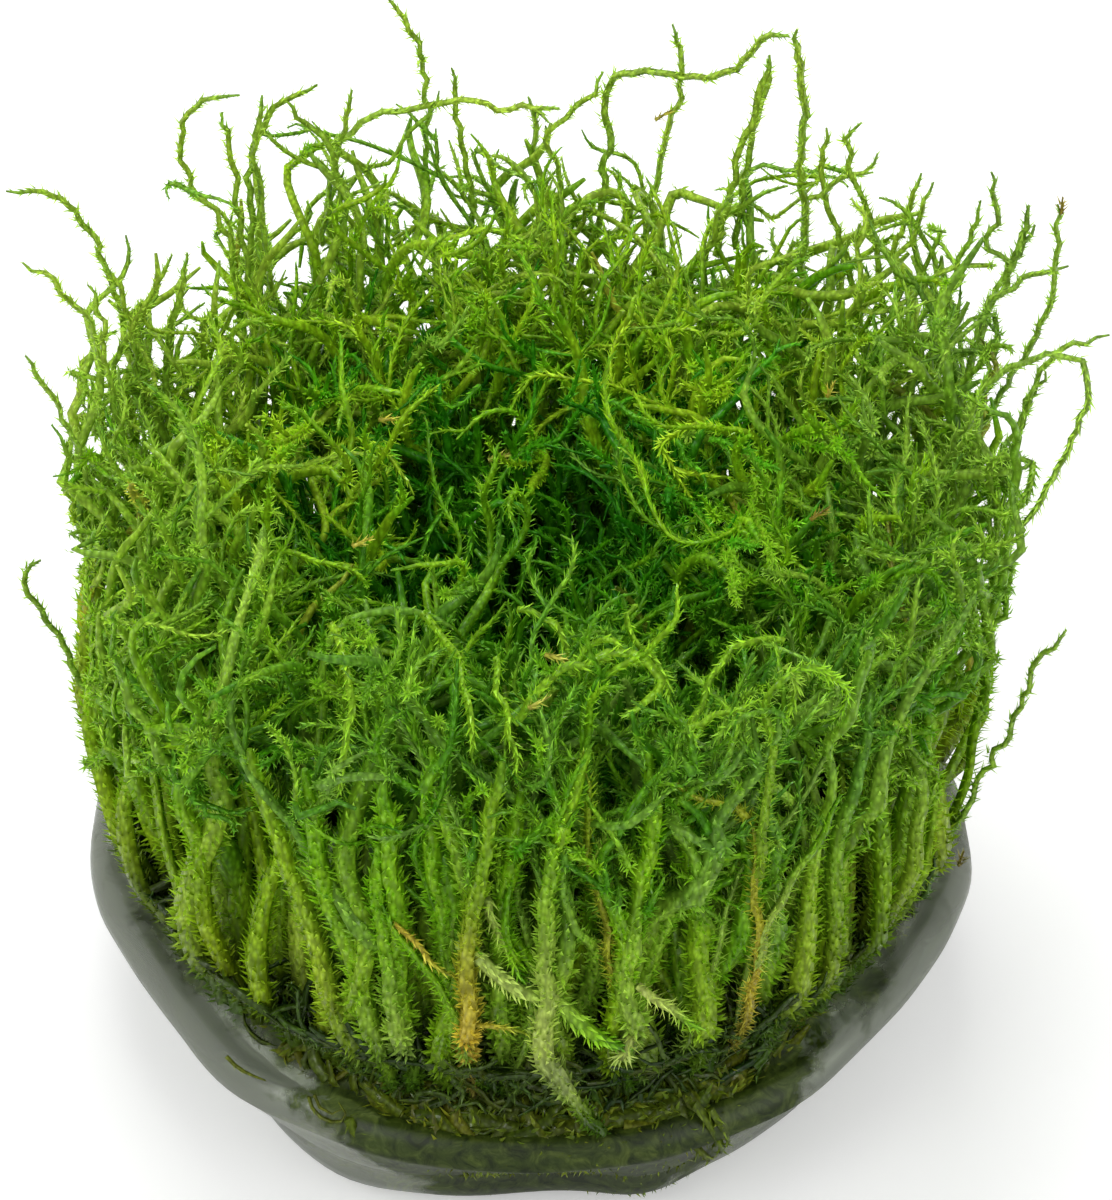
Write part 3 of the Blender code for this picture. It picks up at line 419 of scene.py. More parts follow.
def clouds(tree, place, scale, detail, roughness=0.5, distortion=0.0):
    """Soft noise at a place, with its scale per metre."""
    feeds = {"Vector": place, "Scale": scale, "Detail": detail, "Roughness": roughness, "Distortion": distortion}
    return node(tree, "ShaderNodeTexNoise", feeds).outputs[0]


def by_lot(tree, low, high, seed):
    """A number for each leaf by lot."""
    return node(tree, "FunctionNodeRandomValue", {2: low, 3: high, "Seed": seed}, data_type="FLOAT").outputs[1]


def for_rays(tree, first, *others):
    """One for the kinds of ray named, nought for all others."""
    path = node(tree, "ShaderNodeLightPath")
    share = path.outputs[f"Is {first} Ray"]
    for kind in others:
        share = maths(tree, "MAXIMUM", share, path.outputs[f"Is {kind} Ray"])
    return share


def emptied(block):
    """A material or world with its node tree cleared, and that tree."""
    block.use_nodes = True
    block.node_tree.nodes.clear()
    return block, block.node_tree


def show(name, mesh):
    made = bpy.data.objects.new(name, mesh)
    bpy.context.scene.collection.objects.link(made)
    return made


def pointed(holder, place, aim):
    """A lamp or camera put in its place and turned towards its aim."""
    holder.location = place
    holder.rotation_euler = (Vector(aim) - Vector(place)).to_track_quat("-Z", "Y").to_euler()
    return holder


# Growing the shoots.

# What each point of a shoot carries for the tree and the leaves' colours.
MASKS = ("girth", "age", "tone", "dry", "pale", "mellow", "coat", "leafy")
# How the girth falls over the last points of a shoot.
TIP_TAPER = (0.90, 0.68, 0.38)


class Shoot:
    """One line of growth: its points in millimetres, and what its leaves take from it along the line."""

    def __init__(self, points, girth, age, tone=0.5, dry=0.0, pale=0.0, mellow=0.0, coat=1.0, leafy=1.0):
        self.points = np.array(points, float)
        values = (girth, age, tone, dry, pale, mellow, coat, leafy)
        for mask, value in zip(MASKS, values):
            setattr(self, mask, np.broadcast_to(np.asarray(value, float), (len(self.points),)))
        taper = np.ones(len(self.points))
        taper[-len(TIP_TAPER):] = TIP_TAPER[-len(taper):]
        self.girth = self.girth * taper


def unit(vector):
    return vector / max(1e-9, float(np.linalg.norm(vector)))


def upper_wall(point, limit):
    """How far out shoots reach at a place: they stand back from the old wall high up on the left."""
    bearing = math.degrees(math.atan2(point[1], point[0]))
    return limit - bearing_sum(((178.0, 34.0, 1.9),), bearing) * smooth_step(20.0, 38.0, point[2])


def wandered(rng, start, heading, length, step, restless, lift, wall):
    """A line that wanders more and more along its length, pulled up by lift, and turned back at the wall."""
    point, heading = np.array(start, float), unit(np.array(heading, float))
    turn = np.zeros(3)
    points = [point.copy()]
    steps = max(2, int(round(length / step)))
    for number in range(steps):
        share = number / steps
        turn = 0.62 * turn + 0.38 * rng.normal(0.0, 1.0, 3)
        heading = heading + turn * restless(share) * step
        heading[2] += lift(share) * step
        heading = unit(heading)
        radius = math.hypot(point[0], point[1])
        if radius > upper_wall(point, wall):
            out = np.array((point[0] / radius, point[1] / radius, 0.0))
            heading = unit(heading - out * max(0.0, float(heading @ out)) * 1.2 - out * 0.10)
        point = point + heading * step
        points.append(point.copy())
    return points


def kinked(rng, points, step, amount):
    """A line through the points, divided evenly and shaken a little between them."""
    points = np.array(points, float)
    along = np.concatenate(([0.0], np.cumsum(np.linalg.norm(np.diff(points, axis=0), axis=1))))
    count = max(3, int(round(along[-1] / step)) + 1)
    places = np.linspace(0.0, along[-1], count)
    line = np.stack([np.interp(places, along, points[:, axis]) for axis in range(3)], axis=1)
    line[1:-1] += rng.normal(0.0, amount, (count - 2, 3))
    return line


def tuft_at(x, y):
    """Ring and number of the tuft that a place on the plan belongs to."""
    radius, angle = math.hypot(x, y), math.atan2(y, x)
    ring = min(range(len(RINGS)), key=lambda index: abs(radius - RINGS[index][2]))
    count = RINGS[ring][1]
    number = int(round(angle * count / (2.0 * math.pi) - 0.5 * (ring % 2))) % count
    return ring, number


def feet(rng, spacing):
    """Where shoots rise: an even spiral over the gel, shaken a little, set back where the gel is bare."""
    places = []
    number = 0
    growth = spacing / math.sqrt(math.pi) * 1.02
    while True:
        radius = growth * math.sqrt(number + 0.5)
        if radius > FEET_WITHIN:
            break
        angle = number * GOLDEN_ANGLE
        shake = 0.30 * spacing
        x = radius * math.cos(angle) + rng.uniform(-shake, shake)
        y = radius * math.sin(angle) + rng.uniform(-shake, shake)
        number += 1
        bearing = math.degrees(math.atan2(y, x))
        edge = 31.0 - 2.0 * smooth_step(-170.0, -158.0, bearing) * (1.0 - smooth_step(-124.0, -108.0, bearing))
        if math.hypot(x, y) > edge:
            continue
        if any(math.hypot(x - a, y - b) < c for a, b, c in CLEARINGS):
            continue
        places.append((x, y))
    return places


def tucked(point):
    """Draws the feet of the outer shoots in, behind the wet mat."""
    x, y, z = point
    pull = min(1.0, between(FOOT_REACH, z) / max(0.001, math.hypot(x, y)))
    return (x * pull, y * pull, z)


def twig_heading(rng, heading):
    """Which way a twig leaves its stem: forwards, to one side and rather upwards."""
    side = rng.normal(0.0, 1.0, 3)
    side[2] = 0.45 * abs(side[2])
    side = unit(side - heading * float(side @ heading))
    opening = math.radians(rng.uniform(20.0, 62.0))
    return unit(heading * math.cos(opening) + side * math.sin(opening))


def canopy(x, y):
    """Height of the cushion's top over a place on the plan."""
    radius = math.hypot(x, y)
    shift = 1.0 - smooth_step(12.0, 26.0, radius)
    return between(HEIGHT_AT, math.hypot(x + HOLLOW_SHIFT[0] * shift, y + HOLLOW_SHIFT[1] * shift))


def budded(values, drop, count=2):
    """The values with the last few lowered, for the dark bud at a tip."""
    values = np.array(values, float)
    values[-count:] += drop
    return np.clip(values, 0.0, 1.0)


def cushion_shoots(settings):
    """Every upright shoot of the cushion with its twigs, filed under the tuft that it belongs to."""
    rng = np.random.default_rng(settings.seed)
    girth, tip_girth = settings.girth / MM, settings.tip_girth / MM
    filed = {}
    for x, y in feet(rng, settings.spacing / MM):
        radius, bearing = math.hypot(x, y), math.atan2(y, x)
        rim = smooth_step(20.0, 27.0, radius)
        front, back, side = max(0.0, -math.sin(bearing)), max(0.0, math.sin(bearing)), abs(math.cos(bearing))
        left = max(0.0, -math.cos(bearing))
        top = canopy(x, y) + rng.normal(0.0, 1.5 + 1.8 * rim * max(back, left))
        top = top - 1.6 * rim * back - 2.0 * rim * left + 1.2 * math.sin(3.0 * bearing + 0.7)
        foot = GEL_HEIGHT - rng.uniform(1.0, 3.5)
        hollow = 1.0 - smooth_step(8.0, 22.0, radius)
        # Painted shade: shoots in the hollow are painted a darker green; shoots at the sides of the rim are a little
        # lighter.
        tone = float(np.clip(rng.normal(0.58, 0.22) - 0.22 * hollow + 0.10 * side * rim, 0.0, 1.0))
        pale = float(np.clip(rng.normal(0.08, 0.13) * front * rim, 0.0, 1.0))
        mellow = float(np.clip(rng.normal(0.30, 0.26) + 0.50 * side * rim, 0.0, 1.0))
        dry = rng.uniform(0.3, 0.6) if rng.uniform() < 0.02 else 0.0
        stout = girth * rng.uniform(0.60, 1.28)
        slender = tip_girth * rng.uniform(0.85, 1.2)
        tangent = np.array((-math.sin(bearing), math.cos(bearing), 0.0))
        heading = np.array((rng.normal(0.0, 0.10), rng.normal(0.0, 0.10), 1.0)) + tangent * rng.normal(0.0, 0.17)
        length = (top - foot) * rng.uniform(1.0, 1.10)
        line = wandered(
            rng, (x, y, foot), heading, length, 1.4,
            lambda share: 0.11 + 0.36 * smooth_step(0.35, 1.0, share),
            lambda share: 0.17 - 0.09 * smooth_step(0.5, 0.95, share), SHOOT_WALL,
        )
        count = len(line)
        shares = np.linspace(0.0, 1.0, count)
        thin_from = rng.uniform(0.22, 0.55)
        thinning = smooth_steps(thin_from, thin_from + 0.38, shares)
        girths = (slender + (stout - slender) * (1.0 - thinning)) * rng.normal(1.0, 0.07, count)
        heights = np.array([p[2] for p in line])
        bare = foot + (top - foot) * 0.66 * (1.0 - smooth_step(20.0, 26.5, radius))
        # Painted shade: shoots inside the rim are painted darker low down, under the canopy, and keep their tone
        # towards the tip.
        inside = 1.0 - smooth_step(23.0, 27.0, radius)
        lit = smooth_steps(0.50, 0.95, shares)
        tones = tone * (1.0 - inside * 0.85 * (1.0 - lit))
        coat = 1.0 + 0.9 * back * rim + 0.25 * side * rim + 0.5 * inside
        bunch = filed.setdefault(tuft_at(x, y), [])
        young = smooth_steps(0.45, 0.90, shares)
        # Young growth is painted darker on the near side of the hollow, as painted shade, and lighter on the far side
        # and the left, as painted light.
        tones = tones - 0.62 * smooth_step(11.0, 18.0, radius) * front * young
        tones = tones + (0.26 * max(back, left) + 0.16 * left) * smooth_step(10.0, 20.0, radius) * young
        # Painted light: young growth on the rim, away from the front, is paled towards the pale green.
        lit_paling = 0.26 * rim * (1.0 - front)
        pales = pale + lit_paling * young
        rooted = [tucked(grown(p)) for p in line]
        bunch.append(Shoot(rooted, girths, 1.0 - shares, budded(tones, -0.35), dry, pales, mellow, coat, heights > bare))
        places = sorted(rng.uniform(0.48, 0.99, rng.integers(1, 4) if radius < 10.0 else rng.integers(2, 5)))
        for place in places:
            index = min(count - 2, int(place * (count - 1)))
            along = unit(line[index + 1] - line[index])
            out = twig_heading(rng, along)
            span = rng.uniform(3.0, 12.5)
            twig = wandered(
                rng, line[index], out, span, 0.9, lambda share: 0.45 + 0.40 * share, lambda share: 0.12, TWIG_WALL,
            )
            ceiling = top + rng.uniform(1.0, 3.5)
            twig = [p for p in twig if p[2] <= ceiling]
            if len(twig) < 3:
                continue
            width = min(girths[index], slender * rng.uniform(0.78, 1.05))
            end = np.linspace(0.0, 1.0, len(twig))
            twig_tone = tones[index] + (tone - tones[index]) * end + rng.normal(0.0, 0.12)
            bunch.append(Shoot(
                [grown(p) for p in twig], width * (1.0 - 0.18 * end), (1.0 - place) * (1.0 - end),
                budded(twig_tone, -0.40), 0.0, pale * 0.4 + lit_paling, mellow * 0.6, 1.0 + 0.3 * back,
            ))
            if rng.uniform() < 0.40:
                middle = rng.integers(1, len(twig) - 1)
                spur_out = twig_heading(rng, unit(twig[middle + 1] - twig[middle]))
                length = rng.uniform(1.5, 5.0)
                spur = wandered(
                    rng, twig[middle], spur_out, length, 0.8, lambda share: 0.6, lambda share: 0.06, SPUR_WALL,
                )
                spur_tone = budded(np.full(len(spur), twig_tone[middle]), -0.3, 1)
                bunch.append(Shoot(
                    [grown(p) for p in spur], width * 0.85, 0.0,
                    spur_tone, 0.0, pale * 0.3 + lit_paling, mellow * 0.4, 1.1,
                ))
    return filed


def outer_bunch(filed, point):
    """The shoots filed so far under the outer tuft nearest to a point."""
    return filed.setdefault((0, tuft_at(point[0], point[1])[1]), [])


def placed_shoots():
    """The shoots and scraps with a place of their own, filed as the others are."""
    rng = np.random.default_rng(23)
    filed = {}
    for thick, thin, pale, dry, dry_tip, points in FRONT_SHOOTS:
        middle = points[len(points) // 2]
        line = kinked(rng, points if pale > 0.8 else [tucked(point) for point in points], 1.4, 0.10)
        share = np.linspace(0.0, 1.0, len(line))
        sunk = 0.62 + 0.38 * smooth_steps(17.0, 22.0, line[:, 2])
        girth = (thick + (thin - thick) * share) * rng.normal(1.0, 0.05, len(line)) * sunk
        fading = 1.0 - smooth_steps(0.25, 0.80, share)
        above = smooth_steps(15.5, 21.0, line[:, 2])
        outer_bunch(filed, middle).append(Shoot(
            line, girth, 0.9 - 0.7 * share, budded(0.50 + 0.2 * share, -0.3),
            dry_tip + (dry - dry_tip) * fading, pale * fading * above, 0.35, 0.85,
        ))
    for width, points in LONG_SHOOTS:
        line = kinked(rng, points, 0.9, 0.15)
        share = np.linspace(0.0, 1.0, len(line))
        outer_bunch(filed, points[0]).append(Shoot(
            line, width * (1.08 - 0.15 * share), 0.4 - 0.4 * share, budded(0.50 + 0.45 * share, -0.60), 0.0, 0.30, 0.2, 1.0,
        ))
    for width, points in HOLLOW_TWIGS:
        line = kinked(rng, points, 1.1, 0.15)
        tones = budded(np.full(len(line), 0.85), -0.25, 1)
        bunch = filed.setdefault(tuft_at(points[0][0], points[0][1]), [])
        bunch.append(Shoot(line, width, 0.1, tones, 0.0, 0.05, 0.1, 0.9))
    for place, along, brown in SCRAPS:
        line = np.array(place) + np.outer(np.linspace(0.0, 1.7, 4), unit(np.array(along)))
        line[2:, 2] -= 0.25
        outer_bunch(filed, place).append(Shoot(
            line, (0.30, 0.46, 0.42, 0.20), 0.5, 0.9 - 0.8 * brown, 0.45 + 0.5 * brown, 0.7 - 0.6 * brown, 0.0, 0.7,
        ))
    return filed


# Turning the lines into stems and leaves.


def line_mesh(name, shoots):
    """One loose chain of edges for each shoot, from its foot to its tip, with its measures on the points."""
    counts = [len(shoot.points) for shoot in shoots]
    points = np.concatenate([shoot.points for shoot in shoots]) * MM
    starts = np.cumsum([0] + counts[:-1])
    edges = np.concatenate([np.stack([np.arange(c - 1), np.arange(1, c)], axis=1) + s for s, c in zip(starts, counts)])
    mesh = bpy.data.meshes.new(name)
    mesh.vertices.add(len(points))
    mesh.vertices.foreach_set("co", points.astype(np.float32).ravel())
    mesh.edges.add(len(edges))
    mesh.edges.foreach_set("vertices", edges.astype(np.int32).ravel())
    for mask in MASKS:
        values = np.concatenate([getattr(shoot, mask) for shoot in shoots]) * (MM if mask == "girth" else 1.0)
        mesh.attributes.new(mask, "FLOAT", "POINT").data.foreach_set("value", values.astype(np.float32))
    mesh.update()
    return mesh


def leaf_mesh(name, corners, faces):
    """A pointed leaf along +Z. Each corner: sideways and up in leaf lengths, out in girths of the shoot, share of the leaf."""
    mesh = bpy.data.meshes.new(name)
    mesh.from_pydata([(sideways, out, up) for sideways, up, out, _ in corners], [], faces)
    mesh.attributes.new("leaf", "FLOAT", "POINT").data.foreach_set("value", [corner[3] for corner in corners])
    mesh.update()
    return mesh


# A leaf of a stout shoot hugs the stem with its lower half, and its point bends outwards.
STOUT_LEAF = (
    ((0.0, 0.0, 0.36, 0.10), (0.15, 0.48, 0.86, 0.55), (-0.15, 0.48, 0.86, 0.55), (0.0, 1.0, 1.22, 1.0)),
    ((0, 2, 1), (1, 2, 3)),
)
# A leaf of a slender twig is a small barb with its wide foot in the stem.
SLENDER_LEAF = (((-0.16, 0.0, 0.32, 0.35), (0.16, 0.0, 0.32, 0.35), (0.0, 0.90, 1.42, 1.0)), ((0, 1, 2),))


def turned(tree, rotation, axis, angle):
    """A rotation turned further about one of its own axes."""
    about = node(tree, "ShaderNodeCombineXYZ", {axis: angle})
    turn = node(tree, "FunctionNodeEulerToRotation", {0: about})
    feeds = {0: rotation, 1: turn}
    return node(tree, "FunctionNodeRotateRotation", feeds, rotation_space="LOCAL").outputs[0]


def clad(tree, curves, mask, source, kind):
    """Nodes that give curves a stem and a coat of leaves; returns the geometry of both."""
    seed = source.outputs["Seed"]
    step = source.outputs[kind + " Stem Step"]
    spaced = node(tree, "GeometryNodeResampleCurve", {"Curve": curves, "Length": step}, mode="LENGTH")
    core = maths(tree, "MULTIPLY", mask["girth"], source.outputs[kind + " Stem Share"])
    rounded = node(tree, "GeometryNodeSetCurveRadius", {"Curve": spaced, "Radius": core})
    ring = node(tree, "GeometryNodeCurvePrimitiveCircle", {"Resolution": source.outputs[kind + " Sides"], "Radius": 1.0})
    stem = node(
        tree, "GeometryNodeCurveToMesh",
        {"Curve": rounded, "Profile Curve": ring, "Scale": core, "Fill Caps": True},
    )
    gap = maths(tree, "MULTIPLY", mask["coat"], source.outputs[kind + " Leaf Gap"])
    points = node(tree, "GeometryNodeCurveToPoints", {"Curve": curves, "Length": gap}, mode="LENGTH")
    index = node(tree, "GeometryNodeInputIndex")
    turn = maths(tree, "MULTIPLY", index, source.outputs["Leaf Turn"])
    shake = by_lot(tree, -0.45, 0.45, seed)
    spin = maths(tree, "ADD", turn, shake)
    spun = turned(tree, points.outputs["Rotation"], "Z", spin)
    nod = by_lot(tree, -0.48, 0.05, seed)
    tilted = turned(tree, spun, "X", nod)
    vary = by_lot(tree, 0.70, 1.25, seed)
    # Where a shoot thins out, its leaves are fewer and shorter.
    full = maths(tree, "DIVIDE", mask["girth"], source.outputs[kind + " Full Girth"], clamp=True)
    long = maths(tree, "MULTIPLY_ADD", full, 0.55, 0.45)
    grade = maths(tree, "MULTIPLY", long, vary)
    size = maths(tree, "MULTIPLY", source.outputs[kind + " Leaf Length"], grade)
    scale = node(tree, "ShaderNodeCombineXYZ", {"X": size, "Y": mask["girth"], "Z": size})
    shape = node(tree, "GeometryNodeObjectInfo", {"Object": source.outputs[kind + " Leaf"]}, transform_space="ORIGINAL")
    lot = by_lot(tree, 0.02, 1.0, seed)
    share = maths(tree, "MULTIPLY", full, mask["leafy"])
    wanted = node(tree, "FunctionNodeCompare", {0: share, 1: lot}, data_type="FLOAT", operation="GREATER_THAN")
    leaves = node(
        tree, "GeometryNodeInstanceOnPoints",
        {
            "Points": points, "Selection": wanted, "Instance": shape.outputs["Geometry"],
            "Rotation": tilted, "Scale": scale,
        },
    )
    draw = by_lot(tree, 0.25, 1.0, seed)
    marked = node(
        tree, "GeometryNodeStoreNamedAttribute",
        {"Geometry": leaves, "Name": "luck", "Value": draw}, data_type="FLOAT", domain="INSTANCE",
    )
    return stem.outputs[0], marked.outputs[0]


def shoot_tree():
    """The tree that turns lines into leafy shoots: stout ones and slender ones are clad with their own leaves."""
    tree = bpy.data.node_groups.new("leafy_shoots", "GeometryNodeTree")
    wanted = (
        ("Geometry", {"Lines": None}),
        ("Float", {
            "Slender Below": 0.0006, "Stout Stem Step": 0.0014, "Slender Stem Step": 0.0009,
            "Stout Leaf Gap": 0.000085, "Slender Leaf Gap": 0.00011,
            "Stout Leaf Length": 0.00086, "Slender Leaf Length": 0.00058,
            "Stout Full Girth": 0.00078, "Slender Full Girth": 0.00030,
        }),
        ("Int", {"Stout Sides": 5, "Slender Sides": 3}),
        ("Float", {"Stout Stem Share": 0.82, "Slender Stem Share": 0.60, "Leaf Turn": GOLDEN_ANGLE}),
        ("Object", {"Stout Leaf": None, "Slender Leaf": None}),
        ("Int", {"Seed": 3}),
        ("Material", {"Finish": None}),
    )
    for kind, defaults in wanted:
        for name, default in defaults.items():
            socket = tree.interface.new_socket(name=name, in_out="INPUT", socket_type="NodeSocket" + kind)
            if default is not None:
                socket.default_value = default
    tree.interface.new_socket(name="Shoots", in_out="OUTPUT", socket_type="NodeSocketGeometry")
    source = node(tree, "NodeGroupInput")
    mask = {
        name: node(tree, "GeometryNodeInputNamedAttribute", {"Name": name}, data_type="FLOAT").outputs[0]
        for name in ("girth", "coat", "leafy")
    }
    curves = node(tree, "GeometryNodeMeshToCurve", {"Mesh": source.outputs["Lines"]})
    smooth = node(tree, "GeometryNodeCurveSplineType", {"Curve": curves}, spline_type="CATMULL_ROM")
    fine = node(tree, "GeometryNodeSetSplineResolution", {"Geometry": smooth, "Resolution": 4})
    below = {0: mask["girth"], 1: source.outputs["Slender Below"]}
    slim = node(tree, "FunctionNodeCompare", below, data_type="FLOAT", operation="LESS_THAN")
    sorted_out = {"Geometry": fine, "Selection": slim}
    parted = node(tree, "GeometryNodeSeparateGeometry", sorted_out, domain="CURVE")
    slender = clad(tree, parted.outputs[0], mask, source, "Slender")
    stout = clad(tree, parted.outputs[1], mask, source, "Stout")
    joined = node(tree, "GeometryNodeJoinGeometry")
    for part in slender + stout:
        tree.links.new(part, joined.inputs[0])
    real = node(tree, "GeometryNodeRealizeInstances", {"Geometry": joined})
    soft = node(tree, "GeometryNodeSetShadeSmooth", {"Geometry": real})
    dressed = node(tree, "GeometryNodeSetMaterial", {"Geometry": soft, "Material": source.outputs["Finish"]})
    node(tree, "NodeGroupOutput", {0: dressed})
    return tree


def leafy_piece(name, shoots, finish, seed, changes=None):
    """Runs the tree over the shoots' lines and keeps its result as a plain mesh."""
    tree = bpy.data.node_groups.get("leafy_shoots") or shoot_tree()
    leaves = [
        bpy.data.objects.get(key) or show(key, leaf_mesh(key, *shape))
        for key, shape in (("stout_leaf", STOUT_LEAF), ("slender_leaf", SLENDER_LEAF))
    ]
    lines = show(name + "_lines", line_mesh(name + "_lines", shoots))
    modifier = lines.modifiers.new("leaves", "NODES")
    modifier.node_group = tree
    sockets = {item.name: item.identifier for item in tree.interface.items_tree if item.in_out == "INPUT"}
    values = {"Stout Leaf": leaves[0], "Slender Leaf": leaves[1], "Seed": seed, "Finish": finish}
    values.update(changes or {})
    for key, value in values.items():
        modifier[sockets[key]] = value
    graph = bpy.context.evaluated_depsgraph_get()
    mesh = bpy.data.meshes.new_from_object(lines.evaluated_get(graph), preserve_all_data_layers=True, depsgraph=graph)
    lines.modifiers.remove(modifier)
    bpy.data.objects.remove(lines, do_unlink=True)
    mesh.name = name
    if not len(mesh.polygons):
        raise RuntimeError(name + " came out empty")
    return show(name, mesh)


# Finishes.


def moss_colour_group():
    """Mottled leaf colour from the masks that each leaf carries, with painted shade and light, shared by all the moss.
    """
    group = bpy.data.node_groups.new("moss_colour", "ShaderNodeTree")
    for way, kind, names in (
        ("INPUT", "Color", ("Fresh", "Deep", "Olive", "Pale", "Golden")),
        ("INPUT", "Float", ("Age", "Tone", "Dry", "Bleach", "Mellow", "Leaf", "Luck", "Damp")),
        ("INPUT", "Vector", ("Place",)),
        ("OUTPUT", "Color", ("Colour",)),
        ("OUTPUT", "Float", ("Roughness", "Wet")),
    ):
        for name in names:
            group.interface.new_socket(name=name, in_out=way, socket_type="NodeSocket" + kind)
    given = node(group, "NodeGroupInput").outputs
    patches = clouds(group, given["Place"], 230.0, 3.0, 0.6)
    flecks = clouds(group, given["Place"], 2400.0, 1.0)
    # Small scales along the stem, between the leaves that stand off it.
    stretched = node(group, "ShaderNodeVectorMath", {0: given["Place"], 1: (3000.0, 3000.0, 1300.0)}, operation="MULTIPLY")
    cells = node(group, "ShaderNodeTexVoronoi", {"Vector": stretched, "Scale": 1.0})
    scales = fitted(group, cells.outputs["Distance"], 0.12, 0.72, 0.66, 0.0)
    blade = maths(group, "MAXIMUM", given["Leaf"], scales)
    tone = maths(group, "MULTIPLY_ADD", patches, 1.6, -0.80)
    toned = maths(group, "ADD", given["Tone"], tone, clamp=True)
    green = blended(group, toned, given["Deep"], given["Fresh"])
    old = fitted(group, given["Age"], 0.30, 0.95)
    oldness = maths(group, "MULTIPLY", old, given["Mellow"], clamp=True)
    aged = blended(group, oldness, green, given["Olive"])
    # Paleness holds real bleached shoots, and on young rim growth painted light too.
    paled = blended(group, given["Bleach"], aged, given["Pale"])
    brown = fitted(group, given["Tone"], 0.0, 0.5, 0.25, 1.0)
    golden = node(group, "ShaderNodeVectorMath", {0: given["Golden"], "Scale": brown}, operation="SCALE")
    dried = blended(group, given["Dry"], paled, golden)
    # Leaf points are paled towards the pale green: partly their own thin pale tips, partly a painted highlight.
    tip = maths(group, "POWER", blade, 3.0)
    paling = fitted(group, given["Bleach"], 0.0, 1.0, 0.20, 0.80)
    pale_tip_and_highlight = maths(group, "MULTIPLY", tip, paling)
    light = blended(group, pale_tip_and_highlight, dried, given["Pale"])
    fleck_range = fitted(group, flecks, 0.3, 0.7, 0.84, 1.16)
    # Stems and leaf feet, where leaves overlap, are painted darker and leaf points lighter: partly the stem's own
    # darker green, partly painted shade and light.
    depth = fitted(group, blade, 0.0, 1.0, 0.46, 1.22)
    shade = maths(group, "MULTIPLY", fleck_range, depth)
    by_leaf = fitted(group, given["Luck"], 0.0, 1.0, 0.80, 1.18)
    lit = maths(group, "MULTIPLY", shade, by_leaf)
    mottled = node(group, "ShaderNodeVectorMath", {0: light, "Scale": lit}, operation="SCALE")
    # Near the gel the moss is soaked and glints; below about 19 mm it is painted darker and a little bluer, partly for
    # the wet and partly as painted shade at the foot of the cushion.
    spot = node(group, "ShaderNodeSeparateXYZ", {0: given["Place"]})
    ragged = maths(group, "MULTIPLY_ADD", patches, 0.010, -0.005)
    level = maths(group, "ADD", spot.outputs[2], ragged)
    low_foot = fitted(group, level, 0.0150, 0.0240, 1.0, 0.0)
    wet_foot_shade = maths(group, "MULTIPLY", low_foot, given["Damp"])
    sunk = node(group, "ShaderNodeVectorMath", {0: mottled, 1: (0.20, 0.27, 0.50)}, operation="MULTIPLY")
    foot_darkened = blended(group, wet_foot_shade, mottled, sunk)
    gloss = fitted(group, flecks, 0.3, 0.7, 0.34, 0.55)
    wet = fitted(group, flecks, 0.56, 0.66, 0.0, 0.6)
    glints = maths(group, "MULTIPLY_ADD", wet_foot_shade, 0.35, wet, clamp=True)
    node(group, "NodeGroupOutput", {"Colour": foot_darkened, "Roughness": gloss, "Wet": glints})
    return group


def moss_finish(name, settings, changes=None, wet_foot_shade=1.0, gloss=0.15):
    """The leaves' material: the shared colours, some of them changed for one run of moss."""
    made = bpy.data.materials.get(name)
    if made:
        return made
    made, tree = emptied(bpy.data.materials.new(name))
    group = bpy.data.node_groups.get("moss_colour") or moss_colour_group()
    place = node(tree, "ShaderNodeTexCoord")
    feeds = {"Place": place.outputs["Object"], "Damp": wet_foot_shade}
    for socket in ("Age", "Tone", "Dry", "Bleach", "Mellow", "Leaf", "Luck"):
        mask = "pale" if socket == "Bleach" else socket.lower()
        feeds[socket] = node(tree, "ShaderNodeAttribute", attribute_name=mask).outputs["Fac"]
    for socket in ("Fresh", "Deep", "Olive", "Pale", "Golden"):
        colour = (changes or {}).get(socket, getattr(settings, socket.lower()))
        feeds[socket] = tuple(colour) + (1.0,)
    leaf = node(tree, "ShaderNodeGroup", feeds, node_tree=group)
    shader = node(
        tree, "ShaderNodeBsdfPrincipled",
        {
            "Base Color": leaf.outputs["Colour"], "Roughness": leaf.outputs["Roughness"], "Specular IOR Level": gloss,
            "Coat Weight": leaf.outputs["Wet"], "Coat Roughness": 0.12,
        },
    )
    node(tree, "ShaderNodeOutputMaterial", {"Surface": shader})
    return made


